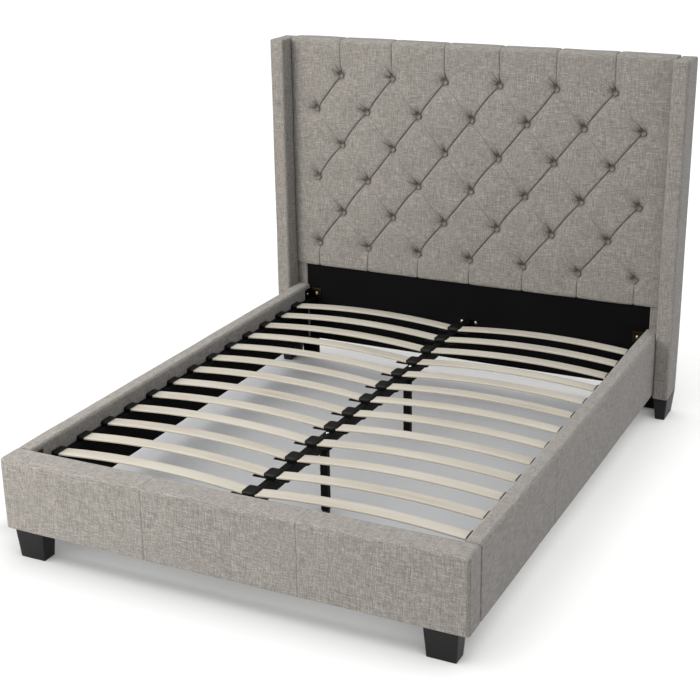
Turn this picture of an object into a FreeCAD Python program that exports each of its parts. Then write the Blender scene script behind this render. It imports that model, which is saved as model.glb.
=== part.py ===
"""Upholstered wingback bed frame: padded rails and footboard, tufted headboard, sprung slat base.

Frame: X across the bed, Y from the foot end to the head end, Z up. Millimetres.
The origin is on the floor, under the middle of the whole bed.
"""

import FreeCAD, Part
import math
import os
import re
import Sketcher

V = FreeCAD.Vector
doc = FreeCAD.newDocument("Bed")

# edges count as level with a face within this height, and as parallel above this cosine
SAME_HEIGHT = 0.1
PARALLEL = 0.999

# ---------------------------------------------------------------- driving dimensions

DIMENSIONS = {
    # whole bed
    "overall_length": 2210,
    "frame_width": 1695,
    "frame_top": 368,
    "frame_bottom": 105,
    # padded rails and footboard
    "rail_thick": 60,
    "footboard_thick": 98,
    "cover_thick": 12,
    "cover_round": 13,
    "footboard_board": 18,
    "rail_end_gap": 2,
    "bare_board_inset": 5,
    # headboard, front to back
    "headboard_thick": 65,
    "headboard_rise": 1490,
    "tufting_bottom": 465,
    "tufting_crown": 8,
    "pad_back": 30,
    "roll_high": 39,
    "lower_panel_inset": 48.5,
    "lower_panel_thick": 18,
    "panel_gap": 0.5,
    "pad_side_gap": 1.5,
    "backboard_thick": 6,
    "back_cloth_thick": 2,
    "back_cloth_gap": 1,
    "post_wide": 74,
    "post_gap": 1,
    "batten_high": 70,
    "low_batten_rise": 60,
    # wings
    "wing_rise": 1476,
    "wing_bottom": 93,
    "wing_depth": 149,
    "wing_thick": 59,
    "wing_gap": 5.5,
    # tufting buttons
    "button_pitch": 243,
    "button_row_pitch": 152.5,
    "button_first_row": 572,
    "button_wide": 24,
    "button_high": 9,
    # slat base
    "slat_seat": 303,
    "slat_rows": 13,
    "slat_wide": 53,
    "slat_thick": 8,
    "slat_bow": 22,
    "slat_foot_gap": 100.6,
    "slat_head_gap": 140.2,
    "slat_hold": 26,
    "ledge_wide": 43.5,
    "ledge_high": 28,
    "cap_high": 19,
    "cap_wall": 3,
    "cap_gap": 0.5,
    "rail_cap_long": 31,
    "hood_long": 62,
    "lip_reach": 38,
    "lip_thick": 2.6,
    # centre beam and its legs
    "beam_wide": 32,
    "beam_high": 45,
    "beam_wall": 2,
    "beam_end_gap": 0.5,
    "beam_side_gap": 0.5,
    "bracket_thick": 3,
    "bracket_wide": 96,
    "bracket_seat": 40,
    "cheek_high": 30,
    "leg_size": 28,
    "leg_wall": 2,
    "leg_plug": 30,
    "front_leg_row": 4,
    "rear_leg_row": 9,
    "front_leg_shift": 5,
    "rear_leg_shift": 9,
    "leg_plate_long": 80,
    "leg_plate_wide": 56,
    "bolt_cap_gap": 0.55,
    # levelling glides
    "glide_wide": 30,
    "glide_high": 11,
    "glide_gap": 0.3,
    "stud_radius": 4,
    "stud_clearance": 0.05,
    "stud_long": 34,
    # block feet
    "foot_wide": 114,
    "foot_deep": 72,
    "foot_taper": 8,
    "foot_set_in": 35,
    "foot_set_back": 5,
    "rear_foot_taper": 9,
    "rear_foot_side_inset": 1,
    "rear_foot_end_inset": 7,
    # corner brackets and bolts
    "corner_long": 56,
    "corner_high": 46,
    "corner_thick": 4,
    "corner_bolt_reach": 34.7,
    "hanger_bolt_reach": 13,
    "hanger_bolt_rise": 30.6,
    "bolt_radius": 4,
    "bolt_head_radius": 7.5,
    "bolt_head_high": 4.5,
    "bolt_long": 20,
    "leg_bolt_end": 6,
    "bolt_hole_gap": 0.4,
    # how far a cutting tool runs past the face that it cuts
    "cut_over": 1,
}

sheet = doc.addObject("Spreadsheet::Sheet", "Dimensions")
for row, (alias, value) in enumerate(DIMENSIONS.items(), start=1):
    sheet.set("A%d" % row, alias)
    sheet.set("B%d" % row, str(value))
    sheet.setAlias("B%d" % row, alias)
doc.recompute()

# places worked out from the driving dimensions, as cells of their own
DERIVED = {
    "foot_y": "-overall_length / 2",
    "head_y": "overall_length / 2",
    "half_width": "frame_width / 2",
    "recess_foot_y": "foot_y + footboard_thick",
    "panel_y": "head_y - headboard_thick",
    "recess_half": "half_width - rail_thick",
    "cover_high": "frame_top - frame_bottom",
    "core_high": "cover_high - cover_thick",
    "rail_core_thick": "rail_thick - 2 * cover_thick",
    "rail_long": "panel_y - rail_end_gap - recess_foot_y",
    "wing_inner_x": "half_width + wing_gap",
    "wing_outer_x": "wing_inner_x + wing_thick",
    "wing_front_y": "head_y - wing_depth",
    "pad_half": "half_width - pad_side_gap",
    "backboard_y": "panel_y + pad_back",
    "frame_back_y": "head_y - back_cloth_thick",
    "slat_inner_x": "hood_long / 2 - slat_hold + cap_wall",
    "slat_outer_x": "recess_half - cap_wall",
    "slat_long": "slat_outer_x - slat_inner_x",
    "slat_radius": "(slat_long * slat_long / 4 + slat_bow * slat_bow) / (2 * slat_bow)",
    "slat_first_y": "recess_foot_y + slat_foot_gap",
    "slat_last_y": "panel_y - slat_head_gap - slat_wide",
    "slat_pitch": "(slat_last_y - slat_first_y) / (slat_rows - 1)",
    "slat_end_z": "slat_seat + cap_wall",
    "slat_rise": "4 * slat_bow / slat_long * slat_hold",
    "cap_wide": "slat_wide + 2 * cap_wall + 2 * cap_gap",
    "beam_bottom": "slat_seat - beam_high",
    "beam_long": "panel_y - recess_foot_y - 2 * bracket_thick - 2 * beam_end_gap",
    "leg_bottom": "glide_high + glide_gap",
    "leg_top": "beam_bottom - bracket_thick",
    "gap_y": "slat_first_y + (slat_wide - slat_pitch) / 2",
    "leg_bolt_place": "(slat_pitch - cap_wide) / 2 - bolt_head_radius - rear_leg_shift - bolt_cap_gap",
    "front_leg_y": "gap_y + front_leg_row * slat_pitch + front_leg_shift",
    "rear_leg_y": "gap_y + rear_leg_row * slat_pitch + rear_leg_shift",
    "post_x": "wing_inner_x - post_wide - post_gap",
    "batten_long": "2 * post_x",
    "frame_deep": "frame_back_y - backboard_y - backboard_thick",
}
for row, (alias, formula) in enumerate(DERIVED.items(), start=1):
    sheet.set("D%d" % row, alias)
    sheet.set("E%d" % row, "=" + formula)
    sheet.setAlias("E%d" % row, alias)
doc.recompute()


def size(alias):
    """The number in a cell of the sheet."""
    return float(sheet.get(alias))


nodes = {}


def node(name, thing):
    """Registers a sub-part: its label is the name of its file."""
    thing.Label = name
    nodes[name] = thing
    return thing


def put(thing, x="0", y="0", z="0"):
    """Places an object by expressions over the sheet's aliases."""
    for axis, formula in (("x", x), ("y", y), ("z", z)):
        thing.setExpression("Placement.Base." + axis, linked(formula))
    return thing


def linked(formula):
    """Turns plain aliases in a formula into references to the sheet's cells."""
    return re.sub(r"[a-z][a-z_]+", lambda word: "Dimensions." + word.group(), formula)


def block(name, length, width, height, x, y, z):
    """A box whose sizes and corner are bound to the sheet."""
    box = doc.addObject("Part::Box", name)
    box.setExpression("Length", linked(length))
    box.setExpression("Width", linked(width))
    box.setExpression("Height", linked(height))
    return put(box, x, y, z)


def cylinder(name, radius, height, x, y, z):
    """An upright cylinder bound to the sheet."""
    rod = doc.addObject("Part::Cylinder", name)
    rod.setExpression("Radius", linked(radius))
    rod.setExpression("Height", linked(height))
    return put(rod, x, y, z)


def cut(name, base, *tools):
    """base minus each tool in turn."""
    result = base
    for number, tool in enumerate(tools, start=1):
        step = doc.addObject("Part::Cut", "%s_cut_%d" % (name, number))
        step.Base = result
        step.Tool = tool
        result = step
    return result


def fuse(name, *pieces):
    """One solid from touching pieces."""
    joined = doc.addObject("Part::MultiFuse", name + "_fuse")
    joined.Shapes = list(pieces)
    joined.Refine = True
    return joined


def compound(name, *pieces):
    """A group of separate solids."""
    group = doc.addObject("Part::Compound", name + "_group")
    group.Links = list(pieces)
    return group


def rounded(name, base, radius_alias, wanted):
    """Fillets the edges of base for which wanted(edge) is true."""
    doc.recompute()
    radius = size(radius_alias)
    soft = doc.addObject("Part::Fillet", name + "_round")
    soft.Base = base
    edges = enumerate(base.Shape.Edges, start=1)
    soft.Edges = [(number, radius, radius) for number, edge in edges if wanted(edge)]
    return soft


def runs_along(edge, axis):
    """True if a straight edge is parallel to the axis."""
    span = edge.Vertexes[-1].Point - edge.Vertexes[0].Point
    return abs(span.normalize().dot(axis)) > PARALLEL


def centre_of(edge):
    """The middle of an edge's box."""
    return edge.BoundBox.Center


def mirrored(name, source):
    """The right-hand twin of a left-hand piece, mirrored in the bed's centre plane."""
    twin = doc.addObject("Part::Mirroring", name + "_mirror")
    twin.Source = source
    twin.Normal = V(1, 0, 0)
    twin.Base = V(0, 0, 0)
    return node(name, twin)


# ---------------------------------------------------------------- footboard

def top_edges_along(axis, top):
    """Picks the straight edges at height top that run along an axis."""
    return lambda edge: runs_along(edge, axis) and abs(centre_of(edge).z - top) < SAME_HEIGHT


def any_soft_edge(top):
    """Picks every edge of a padded box but those round its open underside."""
    def wanted(edge):
        upright = runs_along(edge, V(0, 0, 1))
        return upright or abs(centre_of(edge).z - top) < SAME_HEIGHT
    return wanted


def make_footboard():
    """A hollow timber box with a padded cover pulled over it."""
    cover_box = block("footboard_outside", "frame_width", "footboard_thick", "cover_high",
                      "-half_width", "foot_y", "frame_bottom")
    soft = rounded("footboard", cover_box, "cover_round", any_soft_edge(size("frame_top")))
    core_wide = "frame_width - 2 * cover_thick"
    core_deep = "footboard_thick - 2 * cover_thick"
    inside = block("footboard_inside", core_wide, core_deep, "core_high",
                   "-half_width + cover_thick", "foot_y + cover_thick", "frame_bottom")
    below = block("footboard_below_ledge", "2 * recess_half - 2 * bare_board_inset", "cover_thick",
                  "slat_seat - frame_bottom", "-recess_half + bare_board_inset",
                  "recess_foot_y - cover_thick", "frame_bottom")
    node("footboard_cover", cut("footboard_cover", soft, inside, below))
    core_box = block("footboard_core_box", core_wide, core_deep, "core_high",
                     "-half_width + cover_thick", "foot_y + cover_thick", "frame_bottom")
    hollow = block("footboard_hollow", core_wide + " - 2 * footboard_board",
                   core_deep + " - 2 * footboard_board", "core_high - footboard_board",
                   "-half_width + cover_thick + footboard_board",
                   "foot_y + cover_thick + footboard_board", "frame_bottom")
    node("footboard_core", cut("footboard_core", core_box, hollow))


# ---------------------------------------------------------------- side rails

def make_rails():
    """Timber boards with padded covers, and the ledges that the slats stand on."""
    outside = block("rail_outside", "rail_thick", "rail_long", "cover_high",
                    "-half_width", "recess_foot_y", "frame_bottom")
    soft = rounded("rail", outside, "cover_round", top_edges_along(V(0, 1, 0), size("frame_top")))
    inside = block("rail_inside", "rail_core_thick", "rail_long", "core_high",
                   "-half_width + cover_thick", "recess_foot_y", "frame_bottom")
    below = block("rail_below_ledge", "cover_thick", "rail_long", "slat_seat - frame_bottom",
                  "-recess_half - cover_thick", "recess_foot_y", "frame_bottom")
    node("rail_cover_left", cut("rail_cover_left", soft, inside, below))
    node("rail_core_left", block("rail_core", "rail_core_thick", "rail_long", "core_high",
                                 "-half_width + cover_thick", "recess_foot_y", "frame_bottom"))
    node("slat_ledge_left", block("slat_ledge", "ledge_wide", "rail_long", "ledge_high",
                                  "-recess_half - cover_thick", "recess_foot_y", "slat_seat - ledge_high"))
    for piece in ("rail_cover", "rail_core", "slat_ledge"):
        mirrored(piece + "_right", nodes[piece + "_left"])


# ---------------------------------------------------------------- headboard

def make_headboard():
    """The tufted pad, its buttons and the boards, posts and battens behind it."""
    top_rise = "headboard_rise - tufting_bottom"
    front = block("tufting_front", "2 * pad_half", "pad_back + tufting_crown", top_rise + " - roll_high / 2",
                  "-pad_half", "panel_y - tufting_crown", "tufting_bottom")
    roll = block("tufting_roll", "2 * pad_half", "frame_back_y - panel_y + tufting_crown", "roll_high",
                 "-pad_half", "panel_y - tufting_crown", "headboard_rise - roll_high")
    strip_wide = "pad_half - half_width + lower_panel_inset - panel_gap"
    left_strip = block("strip_left", strip_wide, "lower_panel_thick", "tufting_bottom - frame_bottom",
                       "-pad_half", "panel_y", "frame_bottom")
    right_strip = block("strip_right", strip_wide, "lower_panel_thick", "tufting_bottom - frame_bottom",
                        "half_width - lower_panel_inset + panel_gap", "panel_y", "frame_bottom")
    soft = rounded("tufting", fuse("tufting", front, roll), "cover_round",
                   top_edges_along(V(1, 0, 0), size("headboard_rise")))
    node("headboard_tufted_pad", fuse("headboard_tufted_pad", soft, left_strip, right_strip))
    node("headboard_lower_panel", block("lower_panel", "2 * half_width - 2 * lower_panel_inset",
                                        "lower_panel_thick", "tufting_bottom - frame_bottom",
                                        "-half_width + lower_panel_inset", "panel_y", "frame_bottom"))
    node("headboard_backboard", block("backboard", "2 * pad_half", "backboard_thick",
                                      top_rise + " - roll_high",
                                      "-pad_half", "backboard_y", "tufting_bottom"))
    posts = [
        block("post_" + side, "post_wide", "frame_deep", "headboard_rise - roll_high",
              place, "backboard_y + backboard_thick", "0")
        for side, place in (("left", "-post_x - post_wide"), ("right", "post_x"))
    ]
    node("headboard_posts", compound("headboard_posts", *posts))
    battens = [
        block("batten_" + where, "batten_long", "frame_deep", "batten_high",
              "-batten_long / 2", "backboard_y + backboard_thick", height)
        for where, height in (
            ("low", "frame_bottom + low_batten_rise"),
            ("middle", "tufting_bottom - batten_high / 2"),
            ("high", "headboard_rise - roll_high - batten_high"),
        )
    ]
    node("headboard_battens", compound("headboard_battens", *battens))
    node("headboard_back_cloth", block("back_cloth", "2 * wing_inner_x - 2 * back_cloth_gap",
                                       "back_cloth_thick", "headboard_rise - roll_high - frame_bottom",
                                       "-wing_inner_x + back_cloth_gap", "frame_back_y", "frame_bottom"))


def button_places():
    """Centres of the buttons: rows of six and seven in turn, half a pitch apart."""
    places = []
    rows = int((size("headboard_rise") - size("button_first_row")) // size("button_row_pitch"))
    per_row = int((2 * size("pad_half")) // size("button_pitch")) + 1
    for row in range(rows):
        count = per_row if row % 2 == 0 else per_row - 1
        height = size("button_first_row") + row * size("button_row_pitch")
        for column in range(count):
            across = (column - (count - 1) / 2) * size("button_pitch")
            places.append((across, height))
    return places


def make_buttons():
    """Domed buttons sunk in the pad, each a slice of a ball with its flat face on the pad's front."""
    radius = size("button_wide") / 2
    rise = size("button_high")
    ball = (radius * radius + rise * rise) / (2 * rise)
    front = size("panel_y") - size("tufting_crown")
    dome = Part.makeSphere(ball, V(0, 0, rise - ball), V(0, 0, 1), -90, 90)
    slab = Part.makeCylinder(radius + size("cut_over"), rise + size("cut_over"))
    button = dome.common(slab)
    button.rotate(V(0, 0, 0), V(1, 0, 0), 90)
    domes = []
    for across, height in button_places():
        copy = button.copy()
        copy.translate(V(across, front, height))
        domes.append(copy)
    group = doc.addObject("Part::Feature", "headboard_buttons_group")
    group.Shape = Part.makeCompound(domes)
    node("headboard_buttons", group)


# ---------------------------------------------------------------- wings and rear feet

def make_wings():
    """Each wing is a timber box inside a padded cover that is open underneath, on a tapered foot."""
    outside = block("wing_outside", "wing_thick", "wing_depth", "wing_rise - wing_bottom",
                    "-wing_outer_x", "wing_front_y", "wing_bottom")
    soft = rounded("wing", outside, "cover_round", any_soft_edge(size("wing_rise")))
    core_sizes = ("wing_thick - 2 * cover_thick", "wing_depth - 2 * cover_thick",
                  "wing_rise - wing_bottom - cover_thick",
                  "-wing_outer_x + cover_thick", "wing_front_y + cover_thick", "wing_bottom")
    node("wing_cover_left", cut("wing_cover_left", soft, block("wing_inside", *core_sizes)))
    node("wing_core_left", block("wing_core", *core_sizes))
    node("rear_foot_left", tapered_foot("rear_foot", "wing_thick - 2 * rear_foot_side_inset",
                                        "wing_depth - 2 * rear_foot_end_inset", "wing_bottom",
                                        "rear_foot_taper", "-wing_outer_x + rear_foot_side_inset",
                                        "wing_front_y + rear_foot_end_inset"))
    for piece in ("wing_cover", "wing_core", "rear_foot"):
        mirrored(piece + "_right", nodes[piece + "_left"])


def rectangle(body, name, plane, corner, span):
    """A constrained rectangle sketch on an origin plane: its low corner and its two sides are bound."""
    sketch = body.newObject("Sketcher::SketchObject", name)
    face = [f for f in body.Origin.OriginFeatures if f.Role == plane][0]
    sketch.AttachmentSupport = [(face, "")]
    sketch.MapMode = "FlatFace"
    points = [V(0, 0, 0), V(10, 0, 0), V(10, 10, 0), V(0, 10, 0)]
    for first in range(4):
        sketch.addGeometry(Part.LineSegment(points[first], points[(first + 1) % 4]), False)
    for first in range(4):
        sketch.addConstraint(Sketcher.Constraint("Coincident", first, 2, (first + 1) % 4, 1))
    for line, way in ((0, "Horizontal"), (1, "Vertical"), (2, "Horizontal"), (3, "Vertical")):
        sketch.addConstraint(Sketcher.Constraint(way, line))
    bound = [
        (Sketcher.Constraint("DistanceX", -1, 1, 0, 1, 1.0), corner[0]),
        (Sketcher.Constraint("DistanceY", -1, 1, 0, 1, 1.0), corner[1]),
        (Sketcher.Constraint("DistanceX", 0, 1, 0, 2, 10.0), span[0]),
        (Sketcher.Constraint("DistanceY", 1, 1, 1, 2, 10.0), span[1]),
    ]
    for constraint, formula in bound:
        number = sketch.addConstraint(constraint)
        sketch.setExpression("Constraints[%d]" % number, linked(formula))
    return sketch


def tapered_foot(name, wide, deep, rise, taper, x, y):
    """A block foot, smaller on the floor than at its top by the taper on every side."""
    body = doc.addObject("PartDesign::Body", name + "_body")
    low = rectangle(body, name + "_floor", "XY_Plane", (taper, taper),
                    ("%s - 2 * %s" % (wide, taper), "%s - 2 * %s" % (deep, taper)))
    high = rectangle(body, name + "_top", "XY_Plane", ("0", "0"), (wide, deep))
    high.setExpression("AttachmentOffset.Base.z", linked(rise))
    loft = body.newObject("PartDesign::AdditiveLoft", name + "_loft")
    loft.Profile = low
    loft.Sections = [high]
    loft.Ruled = True
    return put(body, x, y, "0")


def make_front_feet():
    """Two block feet under the ends of the footboard."""
    node("front_foot_left", tapered_foot("front_foot", "foot_wide", "foot_deep", "frame_bottom",
                                         "foot_taper", "-half_width + foot_set_in", "foot_y + foot_set_back"))
    mirrored("front_foot_right", nodes["front_foot_left"])


# ---------------------------------------------------------------- slats and their caps

def make_slat(side, number):
    """One bowed slat: two arcs about one centre, padded to the slat's width."""
    name = "slat_%s_%02d" % (side, number)
    body = doc.addObject("PartDesign::Body", name + "_body")
    sketch = body.newObject("Sketcher::SketchObject", name + "_profile")
    face = [f for f in body.Origin.OriginFeatures if f.Role == "XZ_Plane"][0]
    sketch.AttachmentSupport = [(face, "")]
    sketch.MapMode = "FlatFace"
    half = size("slat_long") / 2
    radius = size("slat_radius")
    centre = V(0, size("slat_bow") - radius, 0)
    angles = []
    for offset in (0, size("slat_thick")):
        half_angle = math.asin(half / (radius + offset))
        circle = Part.Circle(centre, V(0, 0, 1), radius + offset)
        arc = Part.ArcOfCircle(circle, math.pi / 2 - half_angle, math.pi / 2 + half_angle)
        sketch.addGeometry(arc, False)
        angles.append(half_angle)
    ends = []
    for way in (1, -1):
        points = [
            centre + V(way * half, (radius + offset) * math.cos(angle), 0)
            for offset, angle in zip((0, size("slat_thick")), angles)
        ]
        ends.append(points)
    for points in ends:
        sketch.addGeometry(Part.LineSegment(points[0], points[1]), False)
    joins = [(0, 1, 2, 1), (1, 1, 2, 2), (0, 2, 3, 1), (1, 2, 3, 2), (0, 3, 1, 3)]
    for join in joins:
        sketch.addConstraint(Sketcher.Constraint("Coincident", *join))
    sketch.addConstraint(Sketcher.Constraint("Vertical", 2))
    sketch.addConstraint(Sketcher.Constraint("Vertical", 3))
    sketch.addConstraint(Sketcher.Constraint("PointOnObject", 0, 1, -1))
    sketch.addConstraint(Sketcher.Constraint("PointOnObject", 0, 2, -1))
    bound = [
        (Sketcher.Constraint("DistanceX", -1, 1, 0, 1, half), "slat_long / 2"),
        (Sketcher.Constraint("DistanceX", 0, 2, 0, 1, 2 * half), "slat_long"),
        (Sketcher.Constraint("Radius", 0, radius), "slat_radius"),
        (Sketcher.Constraint("Radius", 1, radius + size("slat_thick")), "slat_radius + slat_thick"),
    ]
    for constraint, formula in bound:
        place = sketch.addConstraint(constraint)
        sketch.setExpression("Constraints[%d]" % place, linked(formula))
    pad = body.newObject("PartDesign::Pad", name + "_pad")
    pad.Profile = sketch
    pad.Reversed = True
    pad.setExpression("Length", linked("slat_wide"))
    middle = "slat_inner_x + slat_long / 2"
    across = middle if side == "right" else "-(%s)" % middle
    put(body, across, "slat_first_y + %d * slat_pitch" % (number - 1), "slat_end_z")
    node(name, body)


def slat_rows():
    """The y of each row's near edge."""
    return [size("slat_first_y") + row * size("slat_pitch") for row in range(int(size("slat_rows")))]


def cap_shell(length, slot_from, slot_to, high):
    """A rounded hood along X from 0 to length, with a slot for the slat from slot_from to slot_to."""
    wide = size("cap_wide")
    hood = Part.makeBox(length, wide, high)
    crown = [e for e in hood.Edges if e.BoundBox.ZMin > high - SAME_HEIGHT]
    hood = hood.makeFillet(size("cap_wall"), crown)
    slot_high = size("slat_thick") + size("slat_rise") + size("cap_gap")
    slot = Part.makeBox(slot_to - slot_from, size("slat_wide") + 2 * size("cap_gap"), slot_high,
                        V(slot_from, size("cap_wall"), size("cap_wall")))
    return hood.cut(slot)


def cap_height():
    """A cap is as high as its walls, the slat and the rise of the slat inside it."""
    inside = size("slat_thick") + size("slat_rise") + size("cap_gap")
    return max(size("cap_high"), inside + 2 * size("cap_wall"))


def make_caps():
    """Single caps along the ledges, and double caps with lips along the beam."""
    wall = size("cap_wall")
    margin = wall + size("cap_gap")
    long = size("rail_cap_long")
    single = cap_shell(long, wall, long + size("cut_over"), cap_height())
    twin = single.mirror(V(0, 0, 0), V(1, 0, 0))
    half_hood = size("hood_long") / 2
    reach = size("lip_reach")
    double = cap_shell(2 * half_hood, half_hood + wall, 2 * half_hood + size("cut_over"), cap_height())
    opening = Part.makeBox(half_hood - wall + size("cut_over"), size("slat_wide") + 2 * size("cap_gap"),
                           size("slat_thick") + size("slat_rise") + size("cap_gap"),
                           V(-size("cut_over"), wall, wall))
    double = double.cut(opening)
    lip = Part.makeBox(2 * half_hood + 2 * reach, size("cap_wide"), size("lip_thick"), V(-reach, 0, 0))
    double = double.fuse(lip).removeSplitter()
    rail_caps = []
    centre_caps = []
    seat = size("slat_seat")
    edge = size("recess_half")
    for row in slat_rows():
        low = row - margin
        for shape, across in ((single, -edge), (twin, edge)):
            copy = shape.copy()
            copy.translate(V(across, low, seat))
            rail_caps.append(copy)
        copy = double.copy()
        copy.translate(V(-half_hood, low, seat))
        centre_caps.append(copy)
    for name, solids in (("rail_caps", rail_caps), ("centre_caps", centre_caps)):
        group = doc.addObject("Part::Feature", name + "_group")
        group.Shape = Part.makeCompound(solids)
        node(name, group)


# ---------------------------------------------------------------- centre beam, legs and glides

def make_beam():
    """A rectangular steel tube hung between the two ends, drilled for the leg bolts."""
    tube = block("beam_tube", "beam_wide", "beam_long", "beam_high",
                 "-beam_wide / 2", "recess_foot_y + bracket_thick + beam_end_gap", "beam_bottom")
    bore = block("beam_bore", "beam_wide - 2 * beam_wall", "beam_long + 2 * cut_over",
                 "beam_high - 2 * beam_wall", "-beam_wide / 2 + beam_wall",
                 "recess_foot_y + bracket_thick + beam_end_gap - cut_over", "beam_bottom + beam_wall")
    holes = [
        cylinder("beam_hole_%d" % number, "bolt_radius + bolt_hole_gap", "beam_high + 2 * cut_over",
                 "0", place, "beam_bottom - cut_over")
        for number, place in enumerate(leg_bolt_places(), start=1)
    ]
    node("centre_beam", cut("centre_beam", tube, bore, *holes))
    hangers = []
    for where, face, way in (("foot", "recess_foot_y", 1), ("head", "panel_y", -1)):
        def span(start, length):
            """The low y of a stretch that starts at start from the face and points into the recess."""
            return "%s + %s" % (face, start) if way == 1 else "%s - %s - %s" % (face, start, length)
        plate = block("hanger_plate_" + where, "bracket_wide", "bracket_thick", "beam_high + bracket_thick",
                      "-bracket_wide / 2", span("0", "bracket_thick"), "beam_bottom - bracket_thick")
        seat = block("hanger_seat_" + where, "beam_wide + 2 * bracket_thick + 2 * beam_side_gap",
                     "bracket_seat", "bracket_thick", "-beam_wide / 2 - bracket_thick - beam_side_gap",
                     span("0", "bracket_seat"),
                     "beam_bottom - bracket_thick")
        cheeks = [
            block("hanger_cheek_%s_%s" % (where, side), "bracket_thick", "bracket_seat", "cheek_high",
                  across, span("0", "bracket_seat"), "beam_bottom - bracket_thick")
            for side, across in (("left", "-beam_wide / 2 - bracket_thick - beam_side_gap"),
                                 ("right", "beam_wide / 2 + beam_side_gap"))
        ]
        hangers.append(fuse("hanger_" + where, plate, seat, *cheeks))
    node("beam_brackets", compound("beam_brackets", *hangers))


def leg_bolt_places():
    """The y of each bolt through the beam: one each side of each leg."""
    return [
        "%s %s leg_bolt_place" % (leg, sign)
        for leg in ("front_leg_y", "rear_leg_y")
        for sign in ("-", "+")
    ]


def make_leg(where, place):
    """A square tube with a plate on top and a solid plug at its foot, bored for the glide's stud."""
    plate = block("leg_plate_" + where, "leg_plate_wide", "leg_plate_long", "bracket_thick",
                  "-leg_plate_wide / 2", place + " - leg_plate_long / 2", "leg_top")
    tube = block("leg_tube_" + where, "leg_size", "leg_size", "leg_top - leg_bottom",
                 "-leg_size / 2", place + " - leg_size / 2", "leg_bottom")
    hollow = block("leg_hollow_" + where, "leg_size - 2 * leg_wall", "leg_size - 2 * leg_wall",
                   "leg_top - leg_bottom - leg_plug", "-leg_size / 2 + leg_wall",
                   place + " - leg_size / 2 + leg_wall", "leg_bottom + leg_plug")
    bore = cylinder("leg_bore_" + where, "stud_radius + stud_clearance", "leg_plug + 2 * cut_over",
                    "0", place, "leg_bottom - cut_over")
    holes = [
        cylinder("leg_hole_%s_%s" % (where, word), "bolt_radius + bolt_hole_gap", "bracket_thick + 2 * cut_over",
                 "0", "%s %s leg_bolt_place" % (place, sign), "leg_top - cut_over")
        for word, sign in (("low", "-"), ("high", "+"))
    ]
    solid = fuse("centre_leg_" + where, plate, tube)
    node("centre_leg_" + where, cut("centre_leg_" + where, solid, hollow, bore, *holes))


def make_glide(where, place):
    """A round foot with a threaded stud, turned in one piece: half its section goes round the Z axis."""
    body = doc.addObject("PartDesign::Body", "glide_%s_body" % where)
    foot = rectangle(body, "glide_%s_foot" % where, "XZ_Plane", ("0", "0"),
                     ("glide_wide / 2", "glide_high"))
    disc = body.newObject("PartDesign::Revolution", "glide_%s_disc" % where)
    disc.Profile = foot
    disc.ReferenceAxis = (foot, ["V_Axis"])
    disc.Angle = 360
    stem = rectangle(body, "glide_%s_stem" % where, "XZ_Plane", ("0", "0"),
                     ("stud_radius", "glide_high + stud_long"))
    stud = body.newObject("PartDesign::Revolution", "glide_%s_stud" % where)
    stud.Profile = stem
    stud.ReferenceAxis = (stem, ["V_Axis"])
    stud.Angle = 360
    node("glide_" + where, put(body, "0", place, "0"))


# ---------------------------------------------------------------- brackets and bolts

def make_corner_brackets():
    """Four angle brackets in the inside corners, above the slat ledges."""
    angles = []
    for side, way in (("left", -1), ("right", 1)):
        for where, face, inward in (("foot", "recess_foot_y", 1), ("head", "panel_y", -1)):
            tag = "%s_%s" % (side, where)
            along = block("bracket_along_" + tag, "corner_thick", "corner_long", "corner_high",
                          "-recess_half" if way < 0 else "recess_half - corner_thick",
                          face if inward > 0 else face + " - corner_long", "slat_seat")
            across = block("bracket_across_" + tag, "corner_long", "corner_thick", "corner_high",
                           "-recess_half" if way < 0 else "recess_half - corner_long",
                           face if inward > 0 else face + " - corner_thick", "slat_seat")
            angles.append(fuse("bracket_" + tag, along, across))
    node("corner_brackets", compound("corner_brackets", *angles))


def bolt(length):
    """A button-head bolt along Z: its shank below the origin, its domed head above."""
    radius = size("bolt_head_radius")
    rise = size("bolt_head_high")
    ball = (radius * radius + rise * rise) / (2 * rise)
    dome = Part.makeSphere(ball, V(0, 0, rise - ball), V(0, 0, 1), -90, 90)
    head = dome.common(Part.makeCylinder(radius + size("cut_over"), rise + size("cut_over")))
    shank = Part.makeCylinder(size("bolt_radius"), length, V(0, 0, -length))
    return head.fuse(shank)


def placed(shape, at, pointing):
    """A copy of a bolt with its head pointing along a direction, at a point."""
    copy = shape.copy()
    turn = FreeCAD.Rotation(V(0, 0, 1), pointing)
    copy.Placement = FreeCAD.Placement(at, turn)
    return copy


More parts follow.
